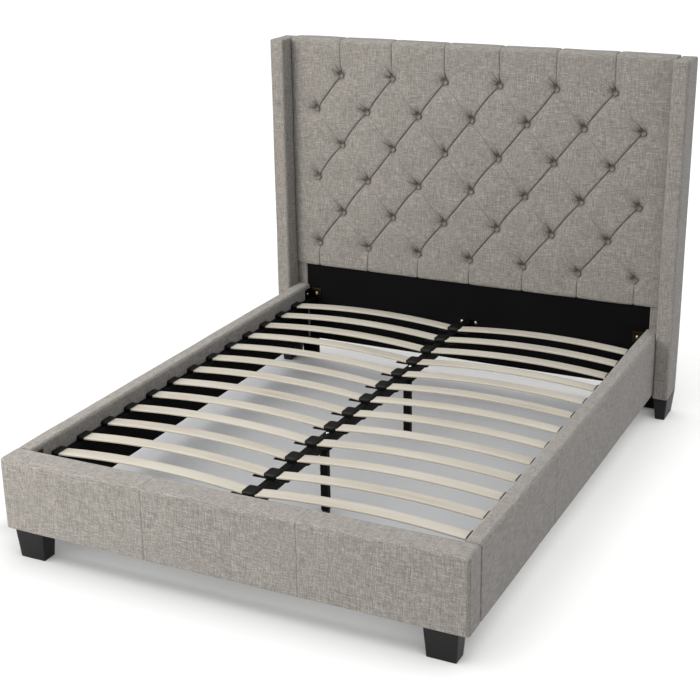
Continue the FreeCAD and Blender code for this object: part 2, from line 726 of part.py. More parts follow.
def make_bolts():
    """Short bolts hold the corner brackets and beam hangers; long bolts go through the beam into the legs."""
    short = bolt(size("bolt_long"))
    middle = size("slat_seat") + size("corner_high") / 2
    reach = size("corner_bolt_reach")
    thick = size("corner_thick")
    edge = size("recess_half")
    short_bolts = []
    for way in (-1, 1):
        for face, inward in ((size("recess_foot_y"), 1), (size("panel_y"), -1)):
            on_rail = V(way * (edge - thick), face + inward * reach, middle)
            on_board = V(way * (edge - reach), face + inward * thick, middle)
            short_bolts.append(placed(short, on_rail, V(-way, 0, 0)))
            short_bolts.append(placed(short, on_board, V(0, inward, 0)))
    hanger = size("bracket_thick")
    height = size("beam_bottom") + size("hanger_bolt_rise")
    for face, inward in ((size("recess_foot_y"), 1), (size("panel_y"), -1)):
        for way in (-1, 1):
            across = way * (size("beam_wide") / 2 + hanger + size("hanger_bolt_reach"))
            short_bolts.append(placed(short, V(across, face + inward * hanger, height), V(0, inward, 0)))
    long = bolt(size("beam_high") + size("bracket_thick") + size("leg_bolt_end"))
    long_bolts = []
    for leg in (size("front_leg_y"), size("rear_leg_y")):
        for way in (-1, 1):
            place = V(0, leg + way * size("leg_bolt_place"), size("slat_seat"))
            long_bolts.append(placed(long, place, V(0, 0, 1)))
    for name, solids in (("frame_bolts", short_bolts), ("leg_bolts", long_bolts)):
        group = doc.addObject("Part::Feature", name + "_group")
        group.Shape = Part.makeCompound(solids)
        node(name, group)


# ---------------------------------------------------------------- build, check, write

make_footboard()
make_rails()
make_headboard()
make_buttons()
make_wings()
make_front_feet()
for row_number in range(1, int(size("slat_rows")) + 1):
    make_slat("left", row_number)
    make_slat("right", row_number)
make_caps()
make_beam()
make_leg("front", "front_leg_y")
make_leg("rear", "rear_leg_y")
make_glide("front", "front_leg_y")
make_glide("rear", "rear_leg_y")
make_corner_brackets()
make_bolts()
doc.recompute()

for thing in doc.Objects:
    if "Invalid" in thing.State or "Error" in thing.State:
        raise RuntimeError("%s failed: %s" % (thing.Name, thing.State))

os.makedirs("parts", exist_ok=True)
for name, thing in sorted(nodes.items()):
    shape = thing.Shape
    if shape.isNull() or not shape.isValid():
        raise RuntimeError(name + " has no valid shape")
    shape.exportStep("parts/%s.step" % name)
    box = shape.BoundBox
    print("%-24s %d solid(s)  x %.1f %.1f  y %.1f %.1f  z %.1f %.1f" % (
        name, len(shape.Solids), box.XMin, box.XMax, box.YMin, box.YMax, box.ZMin, box.ZMax))
print(len(nodes), "nodes")
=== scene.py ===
# %% [markdown]
# # An upholstered wingback bed
#
# This lesson builds the looks of a padded bed around a frame that already has its sizes: linen over
# foam, a tufted headboard between two wings, sprung birch slats and black steel underneath. Every
# piece takes its place from the frame, so the bed can grow or shrink and the looks follow. Lengths
# are in metres, +X to the right seen from the foot end, +Y towards the headboard, +Z up.

# %% Load the frame
import math

import bmesh
import bpy
import numpy as np
from mathutils import Matrix, Vector


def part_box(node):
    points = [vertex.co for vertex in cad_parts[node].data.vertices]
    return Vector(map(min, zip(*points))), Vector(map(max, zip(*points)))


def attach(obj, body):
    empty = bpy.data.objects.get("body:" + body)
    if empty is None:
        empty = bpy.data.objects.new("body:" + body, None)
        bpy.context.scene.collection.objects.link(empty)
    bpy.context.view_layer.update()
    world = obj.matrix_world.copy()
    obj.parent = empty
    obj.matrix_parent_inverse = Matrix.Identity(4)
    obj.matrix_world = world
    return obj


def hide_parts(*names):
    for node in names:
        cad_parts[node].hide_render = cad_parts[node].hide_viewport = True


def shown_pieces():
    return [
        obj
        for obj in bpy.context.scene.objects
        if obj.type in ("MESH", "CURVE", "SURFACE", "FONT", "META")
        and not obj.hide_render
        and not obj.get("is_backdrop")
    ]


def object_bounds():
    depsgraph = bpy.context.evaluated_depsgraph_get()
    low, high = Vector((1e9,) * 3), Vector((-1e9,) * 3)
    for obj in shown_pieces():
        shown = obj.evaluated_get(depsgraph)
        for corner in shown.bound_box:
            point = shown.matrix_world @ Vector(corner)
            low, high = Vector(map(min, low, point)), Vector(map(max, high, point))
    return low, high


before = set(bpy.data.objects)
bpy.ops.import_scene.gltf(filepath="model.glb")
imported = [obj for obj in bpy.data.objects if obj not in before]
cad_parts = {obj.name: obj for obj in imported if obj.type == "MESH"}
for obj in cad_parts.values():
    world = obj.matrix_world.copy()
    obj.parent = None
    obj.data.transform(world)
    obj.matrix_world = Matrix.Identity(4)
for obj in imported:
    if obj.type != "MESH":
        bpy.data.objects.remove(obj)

MM = 0.001
cad_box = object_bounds()

# %% [markdown]
# ## Colours and nodes
#
# A colour given as a hex number is an sRGB number, while a shader counts light, so each hex value is made
# linear once. One small function adds a shader node with its settings and its links, which keeps each
# material short enough to read as a recipe.

# %% Colour and node helpers
def linear(hex_colour):
    """An sRGB hex colour as linear red, green, blue and alpha."""
    parts = [int(hex_colour[i:i + 2], 16) / 255 for i in (1, 3, 5)]
    return [c / 12.92 if c <= 0.04045 else ((c + 0.055) / 1.055) ** 2.4 for c in parts] + [1.0]


def add(tree, kind, sockets=None, **settings):
    """Adds one node: settings are its properties, sockets its inputs as values or other nodes' outputs."""
    made = tree.nodes.new("ShaderNode" + kind)
    for name, value in settings.items():
        setattr(made, name, value)
    for name, value in (sockets or {}).items():
        if isinstance(value, bpy.types.NodeSocket):
            tree.links.new(value, made.inputs[name])
        else:
            made.inputs[name].default_value = value
    return made


def ramp(tree, factor, stops):
    """A colour ramp from (place, hex colour) stops."""
    made = add(tree, "ValToRGB", {"Fac": factor})
    elements = made.color_ramp.elements
    while len(elements) < len(stops):
        elements.new(0.5)
    for element, (place, colour) in zip(elements, stops):
        element.position = place
        element.color = linear(colour)
    return made.outputs["Color"]


def combine(tree, operation, *values):
    """One sum on up to three numbers or outputs of other nodes."""
    return add(tree, "Math", dict(enumerate(values)), operation=operation).outputs[0]


def noise(tree, place, scale=1.0, detail=2.0, **sockets):
    """A noise over places, from 0 to 1."""
    sockets = {"Vector": place, "Scale": scale, "Detail": detail, **sockets}
    return add(tree, "TexNoise", sockets).outputs["Fac"]


def mapped(tree, value, low, high, to_low=0.0, to_high=1.0, **settings):
    """A value carried from one range to another."""
    sockets = {"Value": value, "From Min": low, "From Max": high, "To Min": to_low, "To Max": to_high}
    return add(tree, "MapRange", sockets, **settings).outputs["Result"]


def blended(tree, share, first, second):
    """One colour, and another one where the share is high."""
    return add(tree, "MixRGB", {"Fac": share, "Color1": first, "Color2": second}).outputs["Color"]


def finish_of(name, **constants):
    """A new material with one Principled shader whose plain numbers are set on its own sockets."""
    made = bpy.data.materials.new(name)
    made.use_nodes = True
    tree = made.node_tree
    shader = tree.nodes["Principled BSDF"]
    for socket, value in constants.items():
        shader.inputs[socket.replace("_", " ")].default_value = value
    place = add(tree, "TexCoord").outputs["Object"]
    return made, tree, shader, place


def stretched(tree, place, along, across, axis):
    """The place scaled so that a noise on it is long on one axis and fine on the other two."""
    scale = [1 / across] * 3
    scale["XYZ".index(axis)] = 1 / along
    return add(tree, "Mapping", {"Vector": place, "Scale": scale}).outputs["Vector"]


def paint(tree, shader, colour, bump=None, depth=0.0, roughness=None):
    """Links a colour, a bump of a real depth in metres and a roughness to the shader."""
    tree.links.new(colour, shader.inputs["Base Color"])
    if bump is not None:
        raised = add(tree, "Bump", {"Height": bump, "Distance": depth, "Strength": 1.0})
        tree.links.new(raised.outputs["Normal"], shader.inputs["Normal"])
    if roughness is not None:
        tree.links.new(roughness, shader.inputs["Roughness"])

# %% [markdown]
# ## Slubby linen
#
# Upholstery linen is a plain weave of flax and polyester yarns. The yarns aren't even: thick slubs
# run along the warp and along the weft, so from a few metres the cloth reads as short crossed
# streaks, lighter and darker than the ground. The cloth turns over edges in all directions, so the
# streaks are three noises in space, one drawn out along each axis: whichever way a face looks, two of
# them lie along it and cross. Flax is a dull fibre with a faint halo of loose ends, which is a high
# roughness and a little sheen.

# %% Linen
YARN = 1.5 * MM          # two real yarns wide, because one of 0.7 mm is finer than the picture can show
SLUB_WIDE = 2.2 * MM     # a slub is drawn twice as wide as the real one, for the same reason
SLUB_LONG = 32 * MM
WAVE_LENGTH = 0.314      # from band to band of a wave texture at scale 1, in metres


def linen():
    """Warm grey linen: crossed slubs, a faint cloudiness, a woven bump and painted shade where a piece asks
    for it.
    """
    made, tree, shader, place = finish_of("linen_upholstery", Roughness=0.92, Sheen_Weight=0.18,
                                          Sheen_Roughness=0.55, Specular_IOR_Level=0.25)
    streaks, bands = [], []
    for axis in "XYZ":
        streaks.append(noise(tree, stretched(tree, place, SLUB_LONG, SLUB_WIDE, axis), Roughness=0.65))
        wave = add(tree, "TexWave", {"Vector": place, "Scale": WAVE_LENGTH / YARN}, bands_direction=axis)
        bands.append(wave.outputs["Fac"])
    slubs, weave = (combine(tree, "ADD", combine(tree, "ADD", x, y), z) for x, y, z in (streaks, bands))
    clouded = combine(tree, "MULTIPLY_ADD", noise(tree, place, 5.0, 3.0), 0.06, slubs)
    colour = ramp(tree, mapped(tree, clouded, 1.20, 1.86),
                  [(0.0, "#5D5955"), (0.42, "#76726E"), (0.60, "#827E79"), (1.0, "#9E9A95")])
    # painted shade: the pad and its buttons carry a share of shade for each point, in folds, round buttons
    # and behind the rails, and the linen is darkened towards this colour by it
    painted_shade_share = add(tree, "Attribute", attribute_name="painted_shade").outputs["Fac"]
    raised = combine(tree, "MULTIPLY_ADD", slubs, 1.6, weave)
    paint(tree, shader, blended(tree, painted_shade_share, colour, linear("#3A342F")), raised, 0.25 * MM)
    return made


LINEN = linen()
print("linen with slubs of %.1f x %.0f mm" % (SLUB_WIDE / MM, SLUB_LONG / MM))

# %% [markdown]
# ## Birch
#
# Sprung slats are pressed from thin birch veneers. The face shows fine grain that runs the length of
# the slat, in a pale cream, with a warmer patch here and there; the long edge shows the glue lines
# between the veneers. The face and the edge are two finishes. Slats lie side by side along Y, so a
# slow noise along Y and X gives each one its own tone.

# %% Birch face and birch edge
GRAIN_WIDE = 1.6 * MM    # real birch pores are 0.2 mm apart; these are drawn wide enough to see
GRAIN_LONG = 160 * MM
VENEER = 1.3 * MM


def birch_face():
    """Pale sanded birch, grain along X."""
    made, tree, shader, place = finish_of("birch_veneer_face", Roughness=0.55, Specular_IOR_Level=0.35)
    grain = noise(tree, stretched(tree, place, GRAIN_LONG, GRAIN_WIDE, "X"), 1.0, 3.0, Distortion=0.4)
    tone = add(tree, "Mapping", {"Vector": place, "Scale": [1.9, 13.0, 0.0]}).outputs["Vector"]
    colour = ramp(tree, combine(tree, "MULTIPLY_ADD", grain, 0.35, noise(tree, tone)),
                  [(0.40, "#8F887C"), (0.56, "#9E998F"), (0.74, "#A5A197"), (0.92, "#ABA89E")])
    paint(tree, shader, colour, grain, 0.08 * MM)
    return made


def birch_edge():
    """The slat's long edge: end-cut veneers with brown glue lines."""
    made, tree, shader, _ = finish_of("birch_laminate_edge", Roughness=0.7, Specular_IOR_Level=0.3)
    height = add(tree, "UVMap").outputs["UV"]
    lines = add(tree, "TexWave", {"Vector": height, "Scale": WAVE_LENGTH / VENEER, "Distortion": 1.5,
                                  "Detail Scale": 3.0}, bands_direction="Y").outputs["Fac"]
    colour = ramp(tree, lines, [(0.15, "#8F897C"), (0.45, "#A8A296"), (1.0, "#B8B3A8")])
    paint(tree, shader, colour, lines, 0.1 * MM)
    return made


BIRCH_FACE = birch_face()
BIRCH_EDGE = birch_edge()
print("birch with veneers of %.1f mm" % (VENEER / MM))

# %% [markdown]
# ## Black parts
#
# Four blacks sit side by side under this bed and each catches light its own way: sprayed matt paint
# on board, satin lacquer on the block feet, powder coat on the steel, and moulded rubber and nylon.
# They share one recipe, a near-black with a fine unevenness, and differ in tone, roughness and grain
# size: paint lies rough and flat, powder coat has an orange-peel skin a millimetre or two across, and
# a moulding carries the spark-eroded grain of its tool.

# %% Painted, coated and moulded finishes
UNEVEN = 0.08            # how far the roughness strays to either side
DRAWN_OUT = 14           # how much longer than wide a wood's grain is


def skin(name, dark, light, grain, depth, rough, drawn_along=None, **constants):
    """A painted or moulded surface: two close tones, a grain of a real size and an uneven roughness."""
    made, tree, shader, place = finish_of(name, **constants)
    length = grain * DRAWN_OUT if drawn_along else grain
    fine = noise(tree, stretched(tree, place, length, grain, drawn_along or "X"), 1.0, 3.0)
    broad = noise(tree, place, 7.0, 3.0)
    level = mapped(tree, combine(tree, "MULTIPLY_ADD", fine, 0.5, broad), 0.45, 1.05)
    roughness = mapped(tree, broad, 0.0, 1.0, rough - UNEVEN, rough + UNEVEN)
    paint(tree, shader, ramp(tree, level, [(0.0, dark), (1.0, light)]), fine, depth, roughness)
    return made


PAINTED_BOARD = skin("black_painted_board", "#050506", "#0A0A0B", 1.6 * MM, 0.06 * MM, 0.75,
                     Specular_IOR_Level=0.06)
LACQUERED_BLOCK = skin("black_lacquered_hardwood", "#050505", "#090808", 0.9 * MM, 0.05 * MM, 0.48,
                       drawn_along="Z", Specular_IOR_Level=0.3)
POWDER_COAT = skin("black_powder_coat", "#050505", "#080808", 1.4 * MM, 0.07 * MM, 0.55,
                   Specular_IOR_Level=0.1)
CAP_RUBBER = skin("moulded_cap_rubber", "#080808", "#0D0D0C", 0.8 * MM, 0.04 * MM, 0.5,
                  Specular_IOR_Level=0.14)
GLIDE_NYLON = skin("moulded_nylon", "#161617", "#1F1F20", 0.7 * MM, 0.03 * MM, 0.5)
PINE = skin("planed_pine", "#B98F5C", "#D9B888", 1.8 * MM, 0.08 * MM, 0.68, drawn_along="Z")
YELLOW_ZINC = skin("yellow_zinc_plate", "#241E13", "#423622", 2.5 * MM, 0.02 * MM, 0.4, Metallic=1.0)
BRIGHT_ZINC = skin("bright_zinc_plate", "#A09F9B", "#C4C2BC", 1.2 * MM, 0.02 * MM, 0.28, Metallic=1.0)
print("finishes:", ", ".join(sorted(m.name for m in bpy.data.materials)))

# %% [markdown]
# ## Black dust cloth
#
# The back of a headboard is closed with spunbond cloth: polypropylene threads pressed together by hot
# pins, which leave a grid of small bonded dots. It is matt, thin and a little cloudy.

# %% Dust cloth
BOND_PITCH = 3.0 * MM    # real bond dots are 1.2 mm apart; drawn wider so that they show


def dust_cloth():
    """Spunbond cloth with its grid of bonded dots."""
    made, tree, shader, place = finish_of("black_spunbond_cloth", Roughness=0.95, Sheen_Weight=0.1,
                                          Sheen_Roughness=0.6, Specular_IOR_Level=0.2)
    scaled = stretched(tree, place, BOND_PITCH, BOND_PITCH, "X")
    dots = add(tree, "TexVoronoi", {"Vector": scaled, "Scale": 1.0, "Randomness": 0.15}).outputs["Distance"]
    fibres = noise(tree, place, 420.0, 4.0)
    cloudy = combine(tree, "MULTIPLY_ADD", fibres, 0.6, noise(tree, place, 14.0, 4.0))
    colour = ramp(tree, mapped(tree, cloudy, 0.5, 1.1), [(0.0, "#131314"), (1.0, "#262628")])
    paint(tree, shader, colour, dots, 0.15 * MM)
    return made


DUST_CLOTH = dust_cloth()
print("dust cloth with dots every %.1f mm" % (BOND_PITCH / MM))

# %% [markdown]
# ## Making a mesh
#
# Each piece is a list of points and a list of faces. One helper welds equal points; another makes the
# object, lets it ride on its body of the frame, hides the plain solid that it stands for and gives it
# its finish. A third helper reads the separate solids of a grouped node, such as the buttons or the
# bolts, so that what repeats is placed by the frame and not by a list of numbers.

# %% Mesh helpers
SAME_PLACE = 1e-6        # points closer than this are one


def piece(name, points, faces, finishes, slot, stands_for=(), body="bed", flat_angle=None):
    """Builds an object from points and faces; finishes is one material or a list with an index per face."""
    mesh = bpy.data.meshes.new(name)
    mesh.from_pydata([tuple(p) for p in points], [], [tuple(f) for f in faces])
    mesh.validate()
    made = bpy.data.objects.new(name, mesh)
    bpy.context.scene.collection.objects.link(made)
    for finish in finishes if isinstance(finishes, (list, tuple)) else [finishes]:
        mesh.materials.append(finish)
    mesh.polygons.foreach_set("use_smooth", [True] * len(mesh.polygons))
    if flat_angle is not None:
        mesh.set_sharp_from_angle(angle=math.radians(flat_angle))
    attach(made, body)
    if stands_for:
        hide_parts(*stands_for)
    return made


def weld(corners):
    """Quads given by their corner places, shape (faces, 4, 3), as shared points and face indices."""
    keys = np.round(corners.reshape(-1, 3) / SAME_PLACE).astype(np.int64)
    _, first, index = np.unique(keys, axis=0, return_index=True, return_inverse=True)
    return corners.reshape(-1, 3)[first], index.reshape(-1, 4)


def grid_quads(grid):
    """The cells of a grid of points, as corner places."""
    return np.stack([grid[:-1, :-1], grid[1:, :-1], grid[1:, 1:], grid[:-1, 1:]], axis=2)


def ring_faces(count, levels):
    """Faces between rings of count points each, closed at both ends."""
    faces = [list(range(count))[::-1]]
    for level in range(levels - 1):
        a, b = level * count, (level + 1) * count
        faces += [[a + i, a + (i + 1) % count, b + (i + 1) % count, b + i] for i in range(count)]
    return faces + [[(levels - 1) * count + i for i in range(count)]]


def islands(node):
    """Lowest and highest corner of each separate solid in a grouped node."""
    shape = bmesh.new()
    shape.from_mesh(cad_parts[node].data)
    bmesh.ops.remove_doubles(shape, verts=shape.verts, dist=1e-5)
    found = []
    left = set(shape.verts)
    while left:
        front = [left.pop()]
        group = list(front)
        while front:
            for edge in front.pop().link_edges:
                for vert in edge.verts:
                    if vert in left:
                        left.remove(vert)
                        front.append(vert)
                        group.append(vert)
        places = np.array([v.co for v in group])
        found.append((places.min(0), places.max(0)))
    shape.free()
    return sorted(found, key=lambda pair: tuple(np.round(pair[0], 4)))


def corners_of(node):
    """A node's lowest and highest corner as arrays."""
    low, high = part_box(node)
    return np.array(low), np.array(high)


print("buttons: %d, bolts: %d" % (len(islands("headboard_buttons")), len(islands("frame_bolts"))))

# %% [markdown]
# ## A padded box
#
# Rails, footboard and wings are timber boxes with a layer of foam under tight linen. A plain cube
# with a bevel looks like plastic, because foam rounds over the timber, swells a little between its
# edges and dips at a seam. So the skin is built in three steps. First a grid is laid over the six
# faces of the box, close together where the cloth turns and where a seam runs. Then every point is
# pushed out from an inner box by the radius of its edge, which rounds all edges and corners at once.
# Last, each point moves along its normal by the cloth's relief.

# %% Padded box helpers
CREASE_STEPS = np.array([0, 0.7, 1.5, 2.5, 4, 6, 9, 13]) * MM


def turning(radius, steps=5):
    """Distances from an edge that come out evenly spaced round the arc."""
    return radius * (1 - np.tan(np.linspace(0, math.pi / 4, steps)))


def stops(low, high, radius_low, radius_high, step, creases=()):
    """Places along one side of a box: even ones, and close ones at its two rounded ends and at creases."""
    close = [low + turning(radius_low), high - turning(radius_high)]
    for crease in creases:
        close += [crease - CREASE_STEPS, crease + CREASE_STEPS]
    close = np.concatenate(close)
    close = close[(close >= low) & (close <= high)]
    even = np.linspace(low, high, max(2, int(round((high - low) / step)) + 1))
    near = np.abs(even[:, None] - close[None, :]).min(1)
    return np.unique(np.round(np.concatenate([close, even[near > 0.4 * step]]), 7))


def box_places(low, high, radius, foot, steps, creases=None):
    """Places along the three sides of a box; foot is the radius of the edges underneath."""
    creases = creases or {}
    return [stops(low[a], high[a], radius[a] if a < 2 else foot, radius[a], steps[a], creases.get(a, ()))
            for a in range(3)]


def box_skin(places, keep=None):
    """Quads over the faces of a box, as corner places; keep(middle, axis, side) drops some of them."""
    quads = []
    for axis in range(3):
        across, up = (axis + 1) % 3, (axis + 2) % 3
        for side in (0, 1):
            grid_a, grid_b = np.meshgrid(places[across], places[up], indexing="ij")
            points = np.zeros(grid_a.shape + (3,))
            points[..., axis] = places[axis][-side]
            points[..., across] = grid_a
            points[..., up] = grid_b
            quad = grid_quads(points)
            quad = (quad if side else quad[:, :, ::-1]).reshape(-1, 4, 3)
            if keep is not None:
                quad = quad[keep(quad.mean(1), axis, side)]
            quads.append(quad)
    return np.concatenate(quads)


def round_over(points, low, high, radius, foot_radius):
    """Pushes box points out from an inner box; returns the places and their normals."""
    radii = np.tile(np.asarray(radius, float), (len(points), 1))
    below = points[:, 2] < (low[2] + high[2]) / 2
    radii[below, 2] = foot_radius
    inner_low = low + radii
    inner_high = high - radii
    inner = np.clip(points, inner_low, inner_high)
    out = (points - inner) / radii
    out /= np.maximum(np.linalg.norm(out, axis=1, keepdims=True), 1e-9)
    normals = out / radii
    normals /= np.maximum(np.linalg.norm(normals, axis=1, keepdims=True), 1e-9)
    return inner + out * radii, normals


def thicken(made, thickness):
    """Gives an open skin its thickness inwards, closing it along its rims."""
    solid = made.modifiers.new("thickness", "SOLIDIFY")
    solid.thickness = thickness
    solid.offset = -1.0
    solid.use_even_offset = False
    return made

# %% [markdown]
# ## The cloth's relief
#
# Three things shape tight cloth over foam: a slow unevenness of the hand-stretched foam, a groove
# with small puckers where two panels are sewn, and a slight swelling in the middle of a panel. Each
# is a small formula in real millimetres. The unevenness is a sum of a few slow waves, so it is the
# same each time.

# %% Relief formulas
def unevenness(points, size, seed):
    """Slow waves through space, about one high, from seven directions."""
    draw = np.random.default_rng(seed)
    total = np.zeros(len(points))
    for _ in range(7):
        way = draw.normal(size=3)
        way *= draw.uniform(0.6, 1.5) / np.linalg.norm(way)
        total += np.sin(points @ way * (2 * math.pi / size) + draw.uniform(0, 2 * math.pi))
    return total / 3.2


def seam(distance, along, depth=1.5 * MM, pucker=9 * MM):
    """A sewn groove across distance, with puckers every few millimetres along it."""
    size = np.abs(distance)
    groove = -depth * np.exp(-size / (1.6 * MM))
    shoulder = 0.45 * depth * np.exp(-((size - 7 * MM) / (4.5 * MM)) ** 2)
    wave = np.sin(along * 2 * math.pi / pucker + 1.7 * np.sin(along * 2 * math.pi / 0.071))
    return groove + shoulder + 0.28 * MM * wave * np.exp(-size / (5 * MM))


SKIN = 4 * MM            # linen and its wadding, inside the 12 mm that the frame leaves for foam
PAD_ROUND = 13 * MM
HEM_ROUND = 4 * MM       # the edges underneath, where the cloth turns under


def padded_box(name, node, low, high, radius, steps, relief, creases, keep):
    """A linen skin over a box-shaped pad; relief(flat places, normals) is its height in metres."""
    flat, faces = weld(box_skin(box_places(low, high, radius, HEM_ROUND, steps, creases), keep))
    round_places, normals = round_over(flat, low, high, radius, HEM_ROUND)
    shaped = round_places + normals * relief(flat, normals)[:, None]
    made = piece(name, shaped, faces, LINEN, "linen", [node])
    thicken(made, SKIN)
    print("%-18s %6d faces" % (name, len(faces)))

# %% [markdown]
# ## Footboard
#
# The footboard is the part seen first: a box with a panel of linen on its front, sewn to two end
# panels just behind the corners, and two vertical seams that split the front in three. Its inner face
# is bare black board below the slats, so the linen skin leaves that window open. Underneath, the
# cloth turns under by its own width.

# %% Footboard
foot_low, foot_high = corners_of("footboard_cover")
slat_seat = float(corners_of("slat_ledge_left")[1][2])
board_low, board_high = corners_of("footboard_core")
recess_half = float(-corners_of("rail_cover_left")[1][0])
PANEL_SEAM = 282.5 * MM      # from the middle to each seam of the front panel
END_SEAM = 7 * MM            # from the front corner to the seam of the end panel


def footboard_relief(flat, normals):
    """Swelling, slow waves, two panel seams and the end seams just behind the corners."""
    across = flat[:, 0] / foot_high[0]
    height = 1.2 * MM * (1 - across ** 6) + 0.55 * MM * unevenness(flat, 0.26, 4)
    for place in (-PANEL_SEAM, PANEL_SEAM):
        height += seam(flat[:, 0] - place, flat[:, 2] + flat[:, 1])
    on_end = np.abs(normals[:, 0]) > 0.75
    height += np.where(on_end, seam(flat[:, 1] - foot_low[1] - END_SEAM, flat[:, 2]), 0)
    return height


def footboard_window(middle, axis, side):
    """Drops the underside inside the turned hem, and the inner face below the slats."""
    if axis == 2 and side == 0:
        inside = (middle > board_low + 0.1 * MM) & (middle < board_high - 0.1 * MM)
        return ~(inside[:, 0] & inside[:, 1])
    if axis == 1 and side == 1:
        return (middle[:, 2] > slat_seat) | (np.abs(middle[:, 0]) > recess_half - 5 * MM)
    return np.ones(len(middle), bool)


padded_box(
    "footboard_padding", "footboard_cover", foot_low, foot_high, [PAD_ROUND, PAD_ROUND, PAD_ROUND],
    [9 * MM, 9 * MM, 4 * MM], footboard_relief,
    {0: [-PANEL_SEAM, PANEL_SEAM, board_low[0], board_high[0]],
     1: [foot_low[1] + END_SEAM, board_low[1], board_high[1]], 2: [slat_seat]},
    footboard_window)

# %% [markdown]
# ## Side rails
#
# Each rail is a long board wrapped in foam and linen. The cloth goes over the top and down inside to
# the slats, where it is stapled to the ledge; below that the board is bare. One seam joins the two
# lengths of cloth.

# %% Side rails
RAIL_SEAM_FROM_FOOT = 694 * MM


def make_rail(side):
    """One padded rail, on the left or the right."""
    low, high = corners_of("rail_cover_" + side)
    core_low, core_high = corners_of("rail_core_" + side)
    outward = -1 if side == "left" else 1
    middle_y = (low[1] + high[1]) / 2
    seam_y = low[1] + RAIL_SEAM_FROM_FOOT
    seed = 11 if side == "left" else 12

    def relief(flat, normals):
        """Swelling along the rail, slow waves and one seam."""
        along = (flat[:, 1] - middle_y) / (high[1] - low[1]) * 2
        height = 1.0 * MM * (1 - np.abs(along) ** 8) + 0.6 * MM * unevenness(flat, 0.31, seed)
        return height + seam(flat[:, 1] - seam_y, flat[:, 2] + flat[:, 0])

    def window(middle, axis, face):
        """Drops the inner face below the slats, and the underside inside the turned hem."""
        if axis == 0 and (face == 1) == (outward < 0):
            return middle[:, 2] > slat_seat
        if axis == 2 and face == 0:
            return middle[:, 0] * outward > core_high[0] if outward > 0 else middle[:, 0] < core_low[0]
        return np.ones(len(middle), bool)

    padded_box(
        "rail_padding_" + side, "rail_cover_" + side, low, high, [PAD_ROUND, 3 * MM, PAD_ROUND],
        [6 * MM, 13 * MM, 6 * MM], relief,
        {0: [core_low[0], core_high[0]], 1: [seam_y], 2: [slat_seat]}, window)


make_rail("left")
make_rail("right")

# %% [markdown]
# ## Wings
#
# A wing is a tall narrow box. Its cloth is pulled from the front round both sides to the back, so the
# relief is mostly long slow waves, and a seam runs down each side where the front strip is sewn to
# the side panels. Its wadding swells a little above the wing's plain solid and towards the headboard,
# so that no gap shows.

# %% Wings
WING_SEAM = 16 * MM          # from the front corner to the seam on each side
WING_CROWN = 9 * MM          # how far the wadding stands above the plain solid
WING_SNUG = 4 * MM           # and towards the headboard


def make_wing(side):
    """One padded wing."""
    low, high = corners_of("wing_cover_" + side)
    high[2] += WING_CROWN
    if side == "left":
        high[0] += WING_SNUG
    else:
        low[0] -= WING_SNUG
    core_low, core_high = corners_of("wing_core_" + side)
    seam_y = low[1] + WING_SEAM
    seed = 21 if side == "left" else 22

    def relief(flat, normals):
        """Slow waves drawn out upwards, a swelling front and two side seams."""
        tall = flat * np.array([1, 1, 0.45])
        height = 0.7 * MM * unevenness(tall, 0.16, seed)
        up = (flat[:, 2] - low[2]) / (high[2] - low[2]) * 2 - 1
        height += 1.0 * MM * (1 - np.abs(up) ** 10)
        on_side = np.abs(normals[:, 0]) > 0.9
        return height + np.where(on_side, seam(flat[:, 1] - seam_y, flat[:, 2], 0.9 * MM, 14 * MM), 0)

    def window(middle, axis, face):
        """Drops the underside inside the turned hem."""
        if axis != 2 or face != 0:
            return np.ones(len(middle), bool)
        inside = (middle > core_low) & (middle < core_high)
        return ~(inside[:, 0] & inside[:, 1])

    padded_box(
        "wing_padding_" + side, "wing_cover_" + side, low, high, [9 * MM, PAD_ROUND, 7 * MM],
        [8 * MM, 9 * MM, 9 * MM], relief,
        {0: [core_low[0], core_high[0]], 1: [seam_y, core_low[1], core_high[1]]}, window)


make_wing("left")
make_wing("right")

# %% [markdown]
# ## The tufted headboard pad
#
# Deep foam is pulled back by buttons on a diamond grid. Between two buttons the spare cloth folds
# into a pleat: the pleats that rise to the right are folded hard and read as dark lines, the others
# only start at a button and fade out. Round each button the cloth gathers in short puckers.
#
# A crease needs points on both sides of it, so the pad's grid is laid along the pleats. Its two
# directions are the two ways across the diamonds: u counts buttons up to the right, v counts them
# down to the right, and every button sits where both are whole numbers. The grid is close together
# near whole numbers and open between.

# %% The diamond grid
pad_low, pad_high = corners_of("headboard_tufted_pad")
back_board_y = float(corners_of("headboard_backboard")[0][1])
back_frame_y = float(corners_of("headboard_posts")[1][1])
frame_top_z = float(corners_of("headboard_posts")[1][2])
panel_top_z = float(corners_of("headboard_lower_panel")[1][2])
button_boxes = islands("headboard_buttons")
button_places = np.array([(a + b) / 2 for a, b in button_boxes])[:, [0, 2]]
button_radius = float(button_boxes[0][1][0] - button_boxes[0][0][0]) / 2

row_heights = np.unique(np.round(button_places[:, 1], 4))
row_pitch = float(row_heights[1] - row_heights[0])
first_row = float(row_heights[0])
low_row = np.sort(button_places[np.abs(button_places[:, 1] - first_row) < MM][:, 0])
half_pitch = float(low_row[1] - low_row[0]) / 2


def to_grid(x, z):
    """Flat places on the pad as u and v."""
    across, up = x / half_pitch, (z - first_row) / row_pitch
    return (across + up) / 2, (across - up) / 2


def from_grid(u, v):
    """u and v as flat places on the pad."""
    return half_pitch * (u + v), first_row + row_pitch * (u - v)


side_length = math.hypot(half_pitch, row_pitch)
line_spacing = 2 * half_pitch * row_pitch / side_length
print("diamonds %.0f x %.0f mm, %d rows" % (4 * half_pitch / MM, 2 * row_pitch / MM, len(row_heights)))

# %% [markdown]
# The pad is one sheet of cloth that starts behind its lower edge, comes forward under it, climbs the
# front, rolls over the top and ends behind the top rail. Its section is a path of runs and quarter
# turns. The grid is made flat, with its height measured along that path, and is bent onto the path at
# the end.

